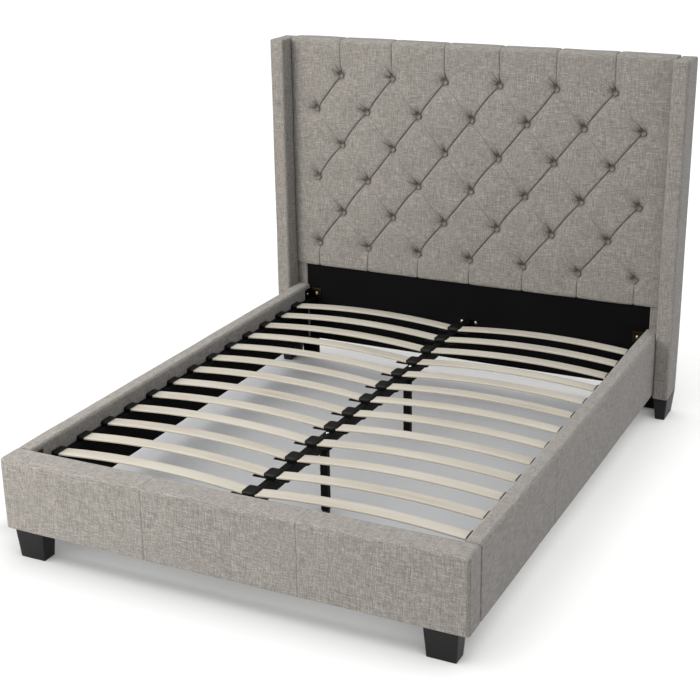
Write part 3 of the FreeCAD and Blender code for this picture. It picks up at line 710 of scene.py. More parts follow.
# %% The pad's section
CREST_Y = float(pad_low[1]) - 4 * MM     # the diamonds' crests stand a little proud of the plain solid
TOP_ROUND = 20 * MM
LOW_ROUND = 9 * MM
BACK_ROUND = 6 * MM
TUCK = 2 * MM
pad_top = float(pad_high[2]) - 2 * MM
pad_half = float(pad_high[0])


def bent_path(start, heading, moves, fineness=0.5 * MM):
    """Samples a path of ("run", length) and ("turn", radius) moves; each turn is a quarter to the right."""
    place = np.array(start, float)
    way = np.array(heading, float)
    out = np.array([-way[1], way[0]])
    lengths, points, normals = [0.0], [place], [out]
    for kind, amount in moves:
        reach = amount if kind == "run" else amount * math.pi / 2
        parts = np.linspace(0, 1, max(3, int(reach / fineness)))[1:, None]
        if kind == "run":
            steps = place + way * amount * parts
            facing = np.repeat(out[None], len(parts), 0)
        else:
            facing = out * np.cos(parts * math.pi / 2) + way * np.sin(parts * math.pi / 2)
            steps = place - out * amount + facing * amount
            way, out = -out, way
        lengths += list(lengths[-1] + reach * parts[:, 0])
        points += list(steps)
        normals += list(facing)
        place = steps[-1]
    return np.array(lengths), np.array(points), np.array(normals)


section_moves = [
    ("run", back_board_y - CREST_Y - LOW_ROUND),
    ("turn", LOW_ROUND),
    ("run", pad_top - panel_top_z - LOW_ROUND - TOP_ROUND),
    ("turn", TOP_ROUND),
    ("run", back_frame_y - CREST_Y - TOP_ROUND - BACK_ROUND),
    ("turn", BACK_ROUND),
    ("run", pad_top - BACK_ROUND - frame_top_z - TUCK),
    ("turn", TUCK),
    ("run", back_frame_y - back_board_y - TUCK),
]
path_length, path_place, path_normal = bent_path((back_board_y, panel_top_z), (-1, 0), section_moves)
front_start = section_moves[0][1] + LOW_ROUND * math.pi / 2
# a place's height on the flat grid is its real height all up the front
flat_bottom = panel_top_z + LOW_ROUND - front_start
flat_top = flat_bottom + float(path_length[-1])
print("pad section is %.0f mm of cloth" % (path_length[-1] / MM))

# %% Lay the grid along the pleats
CLOSE_LINES = np.array([0, 0.6, 1.3, 2.2, 3.4, 5, 7, 9.2, 11.6, 14.2, 17, 20, 23.2, 26.8, 31, 36, 42.5, 51,
                        62, 76]) * MM


def grid_lines(low, high):
    """Close places round every whole number between low and high."""
    shares = CLOSE_LINES / line_spacing
    shares = np.concatenate([-shares[::-1], shares[1:], [0.5]])
    whole = np.arange(math.floor(low) - 1, math.ceil(high) + 2)
    return np.unique(np.round((whole[:, None] + shares[None, :]).ravel(), 9))


edge_x = np.array([-pad_half, pad_half, -pad_half, pad_half])
edge_z = np.array([flat_bottom, flat_bottom, flat_top, flat_top])
edge_u, edge_v = to_grid(edge_x, edge_z)
lines_u, lines_v = grid_lines(edge_u.min(), edge_u.max()), grid_lines(edge_v.min(), edge_v.max())
grid_u, grid_v = np.meshgrid(lines_u, lines_v, indexing="ij")
grid_x, grid_z = from_grid(grid_u, grid_v)
cells = grid_quads(np.stack([grid_x, np.zeros_like(grid_x), grid_z], axis=-1)).reshape(-1, 4, 3)
touches = (np.abs(cells[:, :, 0]).min(1) < pad_half) & (cells[:, :, 2].max(1) > flat_bottom)
cells = cells[touches & (cells[:, :, 2].min(1) < flat_top)]
grid_points, grid_faces = weld(cells)
print("grid: %d faces along the pleats" % len(grid_faces))

# %% [markdown]
# The grid's outline is cut straight at the pad's four sides. The same cut, without throwing anything
# away, adds the lines that the path's turns and the upright seams need: over each button of the top
# row a seam runs up and over the edge, and under each button of the lowest row one runs down.

# %% Cut the outline and add lines
SEAM_LINES = np.array([0, 0.7, 1.5, 2.6, 4.2, 6.5, 10]) * MM
SIDE_ROUND = 5 * MM
TURN_STEP = 3.5 * MM            # between the lines that carry a turn of the path
CUT_TOLERANCE = 0.05 * MM
NEAR_LINE = 12 * MM             # only cells this close to a line are cut by it
sheet = bmesh.new()
sheet_mesh = bpy.data.meshes.new("flat_grid")
sheet_mesh.from_pydata([tuple(p) for p in grid_points], [], [tuple(f) for f in grid_faces])
sheet.from_mesh(sheet_mesh)
bpy.data.meshes.remove(sheet_mesh)


def slice_at(geometry, place, normal, clear=False):
    """Adds a line of points where a plane crosses the grid, and may drop what lies beyond it."""
    return bmesh.ops.bisect_plane(sheet, geom=geometry, dist=CUT_TOLERANCE, plane_co=place, plane_no=normal,
                                  clear_outer=clear)["geom"]


def whole_sheet():
    """Everything in the grid."""
    return sheet.verts[:] + sheet.edges[:] + sheet.faces[:]


for place, normal in (((pad_half, 0, 0), (1, 0, 0)), ((-pad_half, 0, 0), (-1, 0, 0)),
                      ((0, 0, flat_top), (0, 0, 1)), ((0, 0, flat_bottom), (0, 0, -1))):
    slice_at(whole_sheet(), place, normal, clear=True)
for vert in sheet.verts:        # a cut leaves points up to its tolerance off the line; these go onto it
    if abs(abs(vert.co.x) - pad_half) < 2 * CUT_TOLERANCE:
        vert.co.x = math.copysign(pad_half, vert.co.x)
    for edge_height in (flat_bottom, flat_top):
        if abs(vert.co.z - edge_height) < 2 * CUT_TOLERANCE:
            vert.co.z = edge_height


def faces_where(wanted):
    """The faces whose middle passes a test, with their edges and points."""
    faces = [f for f in sheet.faces if wanted(f.calc_center_bounds())]
    return faces + list({e for f in faces for e in f.edges}) + list({v for f in faces for v in f.verts})


turn_heights = []
reached = flat_bottom
for kind, amount in section_moves:
    span = amount if kind == "run" else amount * math.pi / 2
    if kind == "turn":
        turn_heights += list(reached + span * np.linspace(0, 1, max(4, int(span / TURN_STEP))))
    reached += span
for height in turn_heights:
    near = faces_where(lambda c: abs(c.z - height) < NEAR_LINE)
    slice_at(near, (0, 0, height), (0, 0, 1))
for inset in SIDE_ROUND * np.array([0.15, 0.4, 0.7, 1.0]):
    for way in (-1, 1):
        edge = way * (pad_half - inset)
        near = faces_where(lambda c: abs(c.x - edge) < NEAR_LINE)
        slice_at(near, (edge, 0, 0), (1, 0, 0))

top_row_z = float(row_heights[-1])
top_row = button_places[np.abs(button_places[:, 1] - top_row_z) < MM][:, 0]
seam_lines = [(float(x), top_row_z, 1) for x in top_row] + [(float(x), first_row, -1) for x in low_row]
for seam_x, start_z, way in seam_lines:
    near = faces_where(lambda c: abs(c.x - seam_x) < 1.5 * NEAR_LINE and (c.z - start_z) * way > 0)
    for offset in np.unique(np.concatenate([-SEAM_LINES, SEAM_LINES])):
        near = slice_at(near, (seam_x + offset, 0, 0), (1, 0, 0))
sheet.verts.ensure_lookup_table()
flat = np.array([v.co for v in sheet.verts])
print("sheet: %d points after %d seams" % (len(flat), len(seam_lines)))

# %% [markdown]
# Now the relief. Each button pulls a dimple. A pleat is a narrow groove with soft shoulders, deeper
# at its two buttons than between them, and it bows a little to one side as a hand-folded pleat does.
# Where dimple and grooves meet, their depths aren't simply added, because cloth can't go deeper than
# the button holds it: a power mean keeps the deepest one and rounds the meeting.

# %% The tufting's relief
button_u, button_v = to_grid(*button_places.T)
button_set = {(int(round(u)), int(round(v))) for u, v in zip(button_u, button_v)}
flat_u, flat_v = to_grid(flat[:, 0], flat[:, 2])
across_pleat = np.array([-row_pitch, half_pitch]) / side_length     # from a rising pleat to its upper left
draw = np.random.default_rng(7)
DIMPLE = 23 * MM
PLEAT = 13 * MM
FAINT_PLEAT = 9 * MM
UPRIGHT_SEAM = 5 * MM
PLEAT_BOW = 4.5 * MM            # how far a pleat strays from its straight line, at most
PAST_BUTTON = 7 * MM            # how soon a fold dies away past its button
CARRIED = (0.10, 0.26, 0.18, 0.30)      # the share of a faint pleat that crosses the whole diamond

moved = flat[:, [0, 2]].copy()

def crossing(distance, share, amount, width, shoulder, spread):
    """A groove: sharp at its line and soft beside it."""
    near = np.abs(distance)
    return share * (amount * np.exp(-near / width) + shoulder * np.exp(-(near / spread) ** 2))


def stretch_of(along, aside):
    """Which points lie beside a pleat, how far along it they are, and how it dies away past its buttons."""
    beside = (along > -0.1) & (along < 1.1) & (np.abs(aside) <= 0.5)
    held = np.clip(along[beside], 0, 1)
    past = (along[beside] - held) * side_length
    return beside, held, np.exp(-(past / PAST_BUTTON) ** 2)


rising, falling, upright = np.zeros((3, len(flat)))
for u, v in sorted(button_set):
    if (u + 1, v) in button_set:
        bow = draw.uniform(-1, 1) * PLEAT_BOW
        beside, held, end = stretch_of(flat_u - u, flat_v - v)
        aside = (flat_v - v)[beside]
        arch = np.sin(math.pi * held) * np.cos(math.pi * aside) ** 2
        arch *= np.clip((pad_half - np.abs(flat[beside, 0])) / (40 * MM), 0, 1)
        moved[beside] += bow * arch[:, None] * across_pleat
        share = end * (0.62 + 0.38 * (2 * held - 1) ** 2)
        groove = crossing(aside * line_spacing, share, PLEAT, 3 * MM, 3 * MM, 18 * MM)
        rising[beside] = np.maximum(rising[beside], groove)
    if (u, v - 1) in button_set:
        # from this button up to the left; the fold is crisp at this button and fades on its way
        beside, held, end = stretch_of(v - flat_v, flat_u - u)
        carried = CARRIED[(3 * u + 5 * v) % len(CARRIED)]
        share = end * ((1 - carried) * np.exp(-held / 0.33) + carried)
        groove = crossing((flat_u - u)[beside] * line_spacing, share, FAINT_PLEAT, 2 * MM, 2 * MM, 18 * MM)
        falling[beside] = np.maximum(falling[beside], groove)

for seam_x, start_z, way in seam_lines:
    past = (flat[:, 2] - start_z) * way
    share = np.where(past > 0, 1.0, np.exp(-(past / PAST_BUTTON) ** 2))
    share *= 1 + 0.7 * np.exp(-np.abs(past) / (30 * MM))
    groove = crossing(flat[:, 0] - seam_x, share, UPRIGHT_SEAM, 2.2 * MM, 1.2 * MM, 11 * MM)
    upright = np.maximum(upright, groove)
print("deepest pleat %.0f mm, deepest upright seam %.0f mm" % (rising.max() / MM, upright.max() / MM))

# %% Dimples and puckers
PUCKER_WIDE = 1.9 * MM
GATHERED = np.array([-math.sin(math.radians(45)), math.cos(math.radians(45))])    # up to the left
dimples, puckers = np.zeros((2, len(flat)))
for centre in button_places:
    away = moved - centre
    distance = np.hypot(away[:, 0], away[:, 1])
    # its slope is long towards the gathered side and short on the other
    lopsided = 1 + 0.3 * (away @ GATHERED) / np.maximum(distance, MM)
    pulled = DIMPLE * np.exp(-(distance / (22 * MM * lopsided)) ** 1.25)
    pulled += 4 * MM * np.exp(-(distance / (52 * MM)) ** 2)
    dimples = np.maximum(dimples, pulled)
    # the cloth is cut on the straight, so it gathers most towards its upper left
    angles = np.concatenate([draw.uniform(90, 180, 6), draw.uniform(-180, 180, 5)])
    reaches = np.concatenate([draw.uniform(34, 66, 6), draw.uniform(22, 32, 5)]) * MM
    sizes = np.concatenate([draw.uniform(4.5, 9.0, 6), draw.uniform(2.4, 4.4, 5)]) * MM
    close = distance < reaches.max()
    away, distance = away[close], distance[close]
    direction = np.arctan2(away[:, 1], away[:, 0])
    for angle, reach, amount in zip(np.radians(angles), reaches, sizes):
        turned_by = np.angle(np.exp(1j * (direction - angle)))
        off = distance * np.sin(turned_by)
        fade = np.clip((distance - 8 * MM) / (6 * MM), 0, 1) * np.clip(1 - distance / reach, 0, 1)
        fold = amount * fade * np.exp(-(off / (PUCKER_WIDE + 0.025 * distance)) ** 2)
        puckers[close] = np.maximum(puckers[close], np.where(np.abs(turned_by) < 1.2, fold, 0))

# painted shade: how much the cloth is darkened where shade falls in its folds, in the creases, in the
# puckers and close round each button
creases = np.maximum(rising / PLEAT, upright / PLEAT) + 0.5 * falling / PLEAT
nearest = np.min([np.hypot(*(moved - centre).T) for centre in button_places], axis=0)
painted_shade = 0.75 * np.clip(creases - 0.15, 0, 0.9) + 0.75 * np.clip(puckers / (5 * MM), 0, 1)
painted_shade = np.clip(painted_shade + 0.6 * np.exp(-(nearest / (19 * MM)) ** 2), 0, 0.88)

EDGE_FADE = 12 * MM             # the relief dies away this close to the pad's upper and lower ends
depth = sum(d ** 3 for d in (rising, falling, upright, dimples)) ** (1 / 3) + puckers
wave = 0.55 * MM * unevenness(np.stack([moved[:, 0], moved[:, 1], 0 * depth], 1), 0.19, 3)
swell = 2.4 * MM * np.clip(1 - (np.abs(flat[:, 0]) / pad_half) ** 14, 0, 1)
fade = np.clip((flat[:, 2] - flat_bottom) / EDGE_FADE, 0, 1)
fade = fade * np.clip((flat_top - flat[:, 2]) / EDGE_FADE, 0, 1)
height = (swell + wave - depth) * fade
print("relief runs from %.1f to %.1f mm" % (height.min() / MM, height.max() / MM))

# %% Bend the sheet onto its path and close it
edge = np.clip(np.abs(moved[:, 0]) - (pad_half - SIDE_ROUND), 0, SIDE_ROUND)
height -= SIDE_ROUND - np.sqrt(SIDE_ROUND ** 2 - edge ** 2)
path_at = moved[:, 1] - flat_bottom
bent = np.stack([np.interp(path_at, path_length, path_place[:, i]) for i in (0, 1)], 1)
facing = np.stack([np.interp(path_at, path_length, path_normal[:, i]) for i in (0, 1)], 1)
bent += facing * height[:, None]
for vert, x, (y, z) in zip(sheet.verts, moved[:, 0], bent):
    vert.co = (x, y, z)

rim = [e for e in sheet.edges if e.is_boundary]
sides = [[e for e in rim if all(abs(v.co.x - way * pad_half) < SAME_PLACE for v in e.verts)]
         for way in (-1, 1)]
rest = [e for e in rim if e not in sides[0] and e not in sides[1]]
closing = []
for side in sides:
    uses = {}
    for e in side:
        for v in e.verts:
            uses[v] = uses.get(v, 0) + 1
    closing.append(sheet.edges.new([v for v, count in uses.items() if count == 1]))
for loop in (sides[0] + closing[:1], sides[1] + closing[1:], rest + closing):
    bmesh.ops.triangulate(sheet, faces=bmesh.ops.edgeloop_fill(sheet, edges=loop)["faces"])
bmesh.ops.recalc_face_normals(sheet, faces=sheet.faces[:])
open_edges = sum(1 for e in sheet.edges if not e.is_manifold)
sheet.verts.index_update()
pad_points = np.array([v.co for v in sheet.verts])
pad_faces = [[v.index for v in f.verts] for f in sheet.faces]
sheet.free()
print("pad: %d faces, %d open edges" % (len(pad_faces), open_edges))

# %% [markdown]
# Beside the lower panel the same cloth runs on down to the rails in two narrow padded strips. They
# are small rounded boxes, joined to the pad as one piece because they are one piece of upholstery.

# %% The side strips, and the whole pad
def joined(parts):
    """Several (points, faces) pairs as one."""
    points, faces, start = [], [], 0
    for part_points, part_faces in parts:
        points.append(np.asarray(part_points, float))
        faces += [[int(i) + start for i in face] for face in part_faces]
        start += len(part_points)
    return np.concatenate(points), faces


def rounded_box(low, high, radius, step, foot=None):
    """A closed box with rounded edges, as points and faces; foot is another radius for its underside."""
    radius = np.minimum(np.asarray(radius, float), (np.asarray(high) - low) / 2.01)
    foot = radius[2] if foot is None else foot
    points, faces = weld(box_skin(box_places(low, high, radius, foot, [step] * 3)))
    return round_over(points, low, high, radius, foot)[0], faces


def set_painted_shade(made, values):
    """Writes how much painted shade each point of a piece gets, for the linen to darken it by."""
    made.data.attributes.new("painted_shade", "FLOAT", "POINT").data.foreach_set("value", values)


panel_low, panel_high = corners_of("headboard_lower_panel")
STRIP_PROUD = 3 * MM
# painted shade on the strips' lower ends, which lie in the shade behind the rails
STRIP_PAINTED_SHADE = 0.85             # the strips' lower ends are in the dark behind the rails
strips = []
for way in (-1, 1):
    strip_low = np.array([panel_high[0] + 0.5 * MM, panel_low[1] - STRIP_PROUD, pad_low[2]])
    strip_high = np.array([pad_half, panel_high[1], panel_top_z + 6 * MM])
    points, faces = rounded_box(strip_low, strip_high, [7 * MM, 7 * MM, 3 * MM], 9 * MM)
    points[:, 1] += 0.5 * MM * unevenness(points, 0.12, 31)
    strips.append((points, faces) if way > 0 else (points * np.array([-1, 1, 1]), faces[:, ::-1]))
pad_points, pad_faces = joined([(pad_points, pad_faces)] + strips)
tufted_pad = piece("tufted_pad", pad_points, pad_faces, LINEN, "linen", ["headboard_tufted_pad"])
# below the slats the strips get their painted shade
on_strips = np.where(pad_points[len(painted_shade):, 2] < slat_seat, STRIP_PAINTED_SHADE, 0)
set_painted_shade(tufted_pad, np.concatenate([painted_shade, on_strips]))

# %% [markdown]
# ## Rings
#
# Buttons, bolts, glides, feet and legs are all made of rings: a closed outline repeated at changing
# sizes and heights, with faces between one ring and the next. A round outline gives a turned piece, a
# square one with rounded corners gives a leg or a block foot.

# %% Ring helpers
def circle(radius, count=24, lobes=0, lobe_depth=0.0):
    """A round outline, with lobes if it is knurled or gathered."""
    angle = np.arange(count) * 2 * math.pi / count
    size = radius - lobe_depth * (0.5 - 0.5 * np.cos(lobes * angle))
    return np.stack([size * np.cos(angle), size * np.sin(angle)], 1)


def hexagon(radius, count=24):
    """A six-sided outline with its corners at the radius."""
    angle = np.arange(count) * 2 * math.pi / count
    inside = np.mod(angle, math.pi / 3) - math.pi / 6
    size = radius * math.cos(math.pi / 6) / np.cos(inside)
    return np.stack([size * np.cos(angle), size * np.sin(angle)], 1)


def rectangle(half_x, half_y, radius, per_corner=5, per_side=3):
    """A rectangular outline with rounded corners, anticlockwise."""
    points = []
    for corner, (sign_x, sign_y) in enumerate(((1, 1), (-1, 1), (-1, -1), (1, -1))):
        centre = np.array([sign_x * (half_x - radius), sign_y * (half_y - radius)])
        for angle in (corner + np.linspace(0, 1, per_corner)) * math.pi / 2:
            points.append(centre + radius * np.array([math.cos(angle), math.sin(angle)]))
    full = []
    for number, here in enumerate(points):
        full.append(here)
        if number % per_corner == per_corner - 1:
            step = points[(number + 1) % len(points)] - here
            full += [here + step * share for share in np.arange(1, per_side + 1) / (per_side + 1)]
    return np.array(full)


def stack(rings):
    """Points and faces between outlines at heights: rings is a list of (outline, height)."""
    count = len(rings[0][0])
    points = [np.column_stack([outline, np.full(count, height)]) for outline, height in rings]
    return np.concatenate(points), ring_faces(count, len(rings))


def turned(rings, at, pointing=(0, 0, 1), spin=0.0):
    """A stack of rings set at a place with its height along a direction."""
    points, faces = stack(rings)
    turn = Vector((0, 0, 1)).rotation_difference(Vector(pointing))
    turn = turn @ Matrix.Rotation(spin, 3, "Z").to_quaternion()
    rotation = np.array(turn.to_matrix())
    return points @ rotation.T + np.asarray(at), faces

# %% [markdown]
# ## Buttons
#
# A covered button is a shallow metal dome with a scrap of the same linen gathered over it. It sits
# down in its dimple with only its top level with the cloth around. No two sit quite square, so each
# leans a little.

# %% Covered buttons
# radius and height in millimetres, from the back up to the crown, for a button of BUTTON_DRAWN radius
BUTTON_PROFILE = [(9.6, 0.0), (11.2, 0.7), (11.9, 2.0), (11.8, 3.4), (11.1, 5.0), (9.8, 6.4), (7.6, 7.6),
                  (5.0, 8.3), (2.4, 8.6)]
BUTTON_DRAWN = 12 * MM
BUTTON_SHRINK = 0.89                       # the tight cloth draws it in
BUTTON_HIGH = BUTTON_PROFILE[-1][1] * MM
BUTTON_BASE_Y = CREST_Y + 12 * MM
BUTTON_DRIFT = (3 * MM, -3 * MM)           # a button hangs a little below the middle of its gathered cloth
lean = np.random.default_rng(5)
buttons = []
for x, z in button_places:
    rings = []
    for radius, rise in BUTTON_PROFILE:
        gathers = 0.35 * MM if rise < 4 else 0.0
        outline = circle(radius * MM * button_radius / BUTTON_DRAWN, 30, 15, gathers)
        rings.append((outline * BUTTON_SHRINK, rise * MM))
    tilt = lean.normal(0, 0.07, 2)
    at = (x + BUTTON_DRIFT[0], BUTTON_BASE_Y, z + BUTTON_DRIFT[1])
    buttons.append(turned(rings, at, (tilt[0], -1, tilt[1]), lean.uniform(0, 6)))
button_points, button_faces = joined(buttons)
button_piece = piece("tufting_buttons", button_points, button_faces, LINEN, "linen", ["headboard_buttons"])
# painted shade on the buttons: some all over, more the deeper a point sits in its dimple and on the side
# towards the folds up to the left, where shade falls
depth_in_dimple = np.clip((button_points[:, 1] - BUTTON_BASE_Y + BUTTON_HIGH) / BUTTON_HIGH, 0, 1)
per_button = len(button_points) // len(button_places)
offset = button_points[:, [0, 2]] - np.repeat(button_places + BUTTON_DRIFT, per_button, axis=0)
towards_folds = np.clip(offset @ GATHERED / button_radius, 0, 1)
set_painted_shade(button_piece, np.clip(0.22 + 0.5 * depth_in_dimple + 0.75 * towards_folds, 0, 0.85))
print("%d covered buttons" % len(buttons))

# %% [markdown]
# ## Sprung slats
#
# A slat is a strip of laminated birch, bowed upwards so that it gives under load. Its section, a flat
# rectangle with softened edges, is carried along the arc that the frame gives. The long edges take
# the laminate finish.

# %% Slats
SLAT_THICK = 8 * MM
SLAT_EDGE = 2.2 * MM
STATIONS = 40
END_EASE = 0.9 * MM         # how much the section is eased at a slat's very end
END_GAP = 0.9985            # the slat stops just short of the frame's box


def make_slat(node):
    """One slat, swept along its arc."""
    low, high = corners_of(node)
    half = (high[0] - low[0]) / 2
    bow = high[2] - low[2] - SLAT_THICK
    arc = (half ** 2 + bow ** 2) / (2 * bow) + SLAT_THICK / 2
    span = math.asin(half / (arc - SLAT_THICK / 2)) * END_GAP
    outline = rectangle((high[1] - low[1]) / 2, SLAT_THICK / 2, SLAT_EDGE, 4, 3)
    angles = np.linspace(-span, span, STATIONS)
    centre = np.array([(low[0] + high[0]) / 2, (low[1] + high[1]) / 2, low[2] + SLAT_THICK / 2 + bow - arc])
    ends = 1 - np.array([1.0, 0.35] + [0.0] * (STATIONS - 4) + [0.35, 1.0]) * END_EASE / (SLAT_THICK / 2)
    points = []
    for angle, squeeze in zip(angles, ends):
        up = np.array([math.sin(angle), 0, math.cos(angle)])
        wide = 1 - (1 - squeeze) * 0.15
        points.append(centre + up * arc + outline[:, :1] * wide * np.array([0, 1, 0])
                      + outline[:, 1:] * squeeze * up)
    count = len(outline)
    made = piece(node.replace("slat_", "birch_slat_"), np.concatenate(points), ring_faces(count, STATIONS),
                 [BIRCH_FACE, BIRCH_EDGE], "birch", [node])
    mesh = made.data
    layer = mesh.uv_layers.new(name="laminate")
    for polygon in mesh.polygons:
        if abs(polygon.normal.y) > 0.7:
            polygon.material_index = 1
        for loop in polygon.loop_indices:
            station, place = divmod(mesh.loops[loop].vertex_index, count)
            layer.data[loop].uv = (angles[station] * arc, outline[place, 1])


slat_nodes = sorted(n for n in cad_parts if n.startswith("slat_left") or n.startswith("slat_right"))
for node in slat_nodes:
    make_slat(node)
print("%d slats, %.0f mm thick" % (len(slat_nodes), SLAT_THICK / MM))

# %% [markdown]
# ## Caps for the slats
#
# Each slat end sits in a rubber cap: single ones stand on the ledges of the rails, and double ones
# sit on the centre beam, with a flat lip under each slat. A cap is a moulded hood of even wall, open
# where the slat goes in.

# %% Slat caps
CAP_WALL = 2.4 * MM


def hollow(points, faces, normals, wall):
    """A closed wall of real thickness made from an open skin."""
    count = len(points)
    used = {(int(a), int(b)) for face in faces for a, b in zip(face, np.roll(face, -1))}
    rim = [[b, a, a + count, b + count] for a, b in sorted(used) if (b, a) not in used]
    inside = [[int(i) + count for i in face[::-1]] for face in faces]
    return np.concatenate([points, points - normals * wall]), [list(face) for face in faces] + inside + rim


def hood(low, high, radius, open_low, open_high, wall=CAP_WALL, step=12 * MM, axis=0, foot=1.2 * MM):
    """A rounded hollow box, open at one or both of its ends along an axis."""
    big_low, big_high = np.array(low), np.array(high)
    big_low[axis] -= radius[axis] if open_low else 0
    big_high[axis] += radius[axis] if open_high else 0
    places = box_places(big_low, big_high, radius, foot, [step] * 3)

    def keep(middle, _, side):
        """Drops what lies beyond an open end."""
        return (middle[:, axis] > low[axis]) & (middle[:, axis] < high[axis])

    points, faces = weld(box_skin(places, keep))
    points, normals = round_over(points, big_low, big_high, np.asarray(radius), foot)
    return hollow(points, faces.tolist(), normals, wall)


rail_hoods = []
for low, high in islands("rail_caps"):
    rail_hoods.append(hood(low, high, [5 * MM, 8 * MM, 7 * MM], low[0] > 0, high[0] < 0))
piece("rail_slat_caps", *joined(rail_hoods), CAP_RUBBER, "cap_rubber", ["rail_caps"], flat_angle=50)

# a beam cap is a low dome that closes round both slats, so its slats come out through its two ends
hood_half = float(corners_of(slat_nodes[-1])[0][0]) + 20 * MM
beam_caps = []
for low, high in islands("centre_caps"):
    hood_low, hood_high = low.copy(), high.copy()
    hood_low[0], hood_high[0] = -hood_half, hood_half
    hood_high[2] += 2 * MM
    beam_caps.append(rounded_box(hood_low, hood_high, [16 * MM, 12 * MM, 14 * MM], 9 * MM, foot=1 * MM))
    lip_high = high.copy()
    lip_high[2] = low[2] + 2.6 * MM
    beam_caps.append(rounded_box(low, lip_high, [6 * MM, 6 * MM, 1.2 * MM], 25 * MM))
piece("beam_slat_caps", *joined(beam_caps), CAP_RUBBER, "cap_rubber", ["centre_caps"], flat_angle=50)
print("%d rail caps, %d beam caps" % (len(rail_hoods), len(beam_caps) // 2))

# %% [markdown]
# ## Steel and feet
#
# The beam is a rectangular steel tube with rounded edges and open ends. Its legs are square tubes
# with a welded plate on top, and each leg takes the threaded stud of a nylon glide, which turns by
# its knurled rim. The block feet are sawn from one piece of hardwood, narrower at the floor, with
# eased edges.

# %% Beam and legs
low, high = corners_of("centre_beam")
tube = hood(low, high, [3.5 * MM, 1 * MM, 3.5 * MM], True, True, wall=2 * MM, step=60 * MM, axis=1,
            foot=3.5 * MM)
piece("steel_beam", *tube, POWDER_COAT, "black_steel", ["centre_beam"], flat_angle=50)


def matched_circle(outline, radius):
    """A circle whose points lie in the same directions as an outline's."""
    return outline / np.linalg.norm(outline, axis=1, keepdims=True) * radius


def make_leg(name):
    """A square tube with a plug at its foot, bored for the glide, and a plate welded on top."""
    low, high = corners_of(name)
    middle = (low + high) / 2
    plate_low = np.array([low[0], low[1], high[2] - 3 * MM])
    half = 14 * MM
    square = rectangle(half, half, 3 * MM)
    bore = matched_circle(square, 4.3 * MM)
    bored_to = float(corners_of(name.replace("centre_leg", "glide"))[1][2])
    rings = [(bore, bored_to), (bore, low[2]), (rectangle(half - 1 * MM, half - 1 * MM, 2.4 * MM), low[2]),
             (square, low[2] + 1 * MM)]
    rings += [(square, z) for z in np.linspace(low[2] + 2 * MM, plate_low[2] - 4 * MM, 8)]
    # the weld swells out under the plate
    rings += [(rectangle(half + g * MM, half + g * MM, (3 + g) * MM), plate_low[2] - h * MM)
              for g, h in ((0.4, 3.2), (1.3, 2.1), (2.7, 1.1), (3.6, 0.0))]
    plate = rounded_box(plate_low, high, [5 * MM, 5 * MM, 0.8 * MM], 20 * MM)
    parts = joined([turned(rings, (middle[0], middle[1], 0)), plate])
    piece(name.replace("centre", "steel"), *parts, POWDER_COAT, "black_steel", [name], flat_angle=45)
    print("%-16s %3.0f mm tall, bored for its glide" % (name, (high[2] - low[2]) / MM))


make_leg("centre_leg_front")
make_leg("centre_leg_rear")

# %% Glides
KNURLS = 20
DISC_HIGH = 11 * MM
PITCH = 1.25 * MM
# inset from the rim, height and depth of the knurls, in millimetres
DISC_PROFILE = [(-1.8, 0.0, 0), (-0.6, 0.35, 0), (-0.1, 1.3, 0), (0, 2.6, 0.5), (0, 5.4, 0.6),
                (0, 7.6, 0.5), (-0.9, 8.9, 0.2), (-2.8, 9.8, 0), (-6.0, 10.4, 0), (-8.4, 11.0, 0)]


def make_glide(where):
    """A nylon disc with a knurled rim on a threaded steel stud; it turns and travels with its own body."""
    low, high = corners_of("glide_" + where)
    radius = (high[0] - low[0]) / 2
    rings = [(circle(radius + inset * MM, 80, KNURLS, lobe * MM), low[2] + rise * MM)
             for inset, rise, lobe in DISC_PROFILE]
    for z in np.arange(DISC_HIGH, high[2] - PITCH, PITCH):
        rings += [(circle(3.45 * MM, 80), z + 0.1 * PITCH), (circle(4 * MM, 80), z + 0.5 * PITCH),
                  (circle(4 * MM, 80), z + 0.6 * PITCH)]
    rings += [(circle(3.4 * MM, 80), high[2] - 0.6 * MM), (circle(2.8 * MM, 80), high[2])]
    points, faces = turned(rings, ((low[0] + high[0]) / 2, (low[1] + high[1]) / 2, 0))
    made = piece("levelling_glide_" + where, points, faces, [GLIDE_NYLON, BRIGHT_ZINC], "glide_plastic",
                 ["glide_" + where], body=where + "_glide", flat_angle=40)
    for polygon in made.data.polygons:
        if polygon.center.z > DISC_HIGH:
            polygon.material_index = 1
    print("%-5s glide: disc of %.0f mm radius" % (where, radius / MM))


make_glide("front")
make_glide("rear")

# %% Block feet
# height and easing of the rings in millimetres, first from the floor and then from the top
FOOT_SIDES = [(0.0, 1.6), (0.35, 0.6), (1.0, 0.15), (2.0, 0.0), (30, 0), (60, 0), (90, 0)]
FOOT_TOP = [(-1.0, 0.1), (0, 1.0)]


def make_foot(name):
    """A tapered hardwood block with eased edges; its size at floor and top comes from the frame."""
    places = np.array([v.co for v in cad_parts[name].data.vertices])
    low, high = places.min(0), places.max(0)
    floor_ring = places[places[:, 2] < low[2] + 0.5 * MM]
    top_ring = places[places[:, 2] > high[2] - 0.5 * MM]
    rings = []
    heights = [(low[2] + z * MM, ease) for z, ease in FOOT_SIDES]
    heights += [(high[2] + z * MM, ease) for z, ease in FOOT_TOP]
    for height, ease in heights:
        share = (height - low[2]) / (high[2] - low[2])
        ring_low = floor_ring.min(0) * (1 - share) + top_ring.min(0) * share
        ring_high = floor_ring.max(0) * (1 - share) + top_ring.max(0) * share
        half = (ring_high - ring_low) / 2 - ease * MM
        middle = (ring_high + ring_low) / 2
        rings.append((rectangle(half[0], half[1], 2.5 * MM) + middle[:2], height))
    piece(name.replace("foot", "block_foot"), *stack(rings), LACQUERED_BLOCK, "black_lacquer", [name],
          flat_angle=40)
    print("%-16s %.0f mm tall" % (name, (high[2] - low[2]) / MM))


for name in ("front_foot_left", "front_foot_right", "rear_foot_left", "rear_foot_right"):
    make_foot(name)

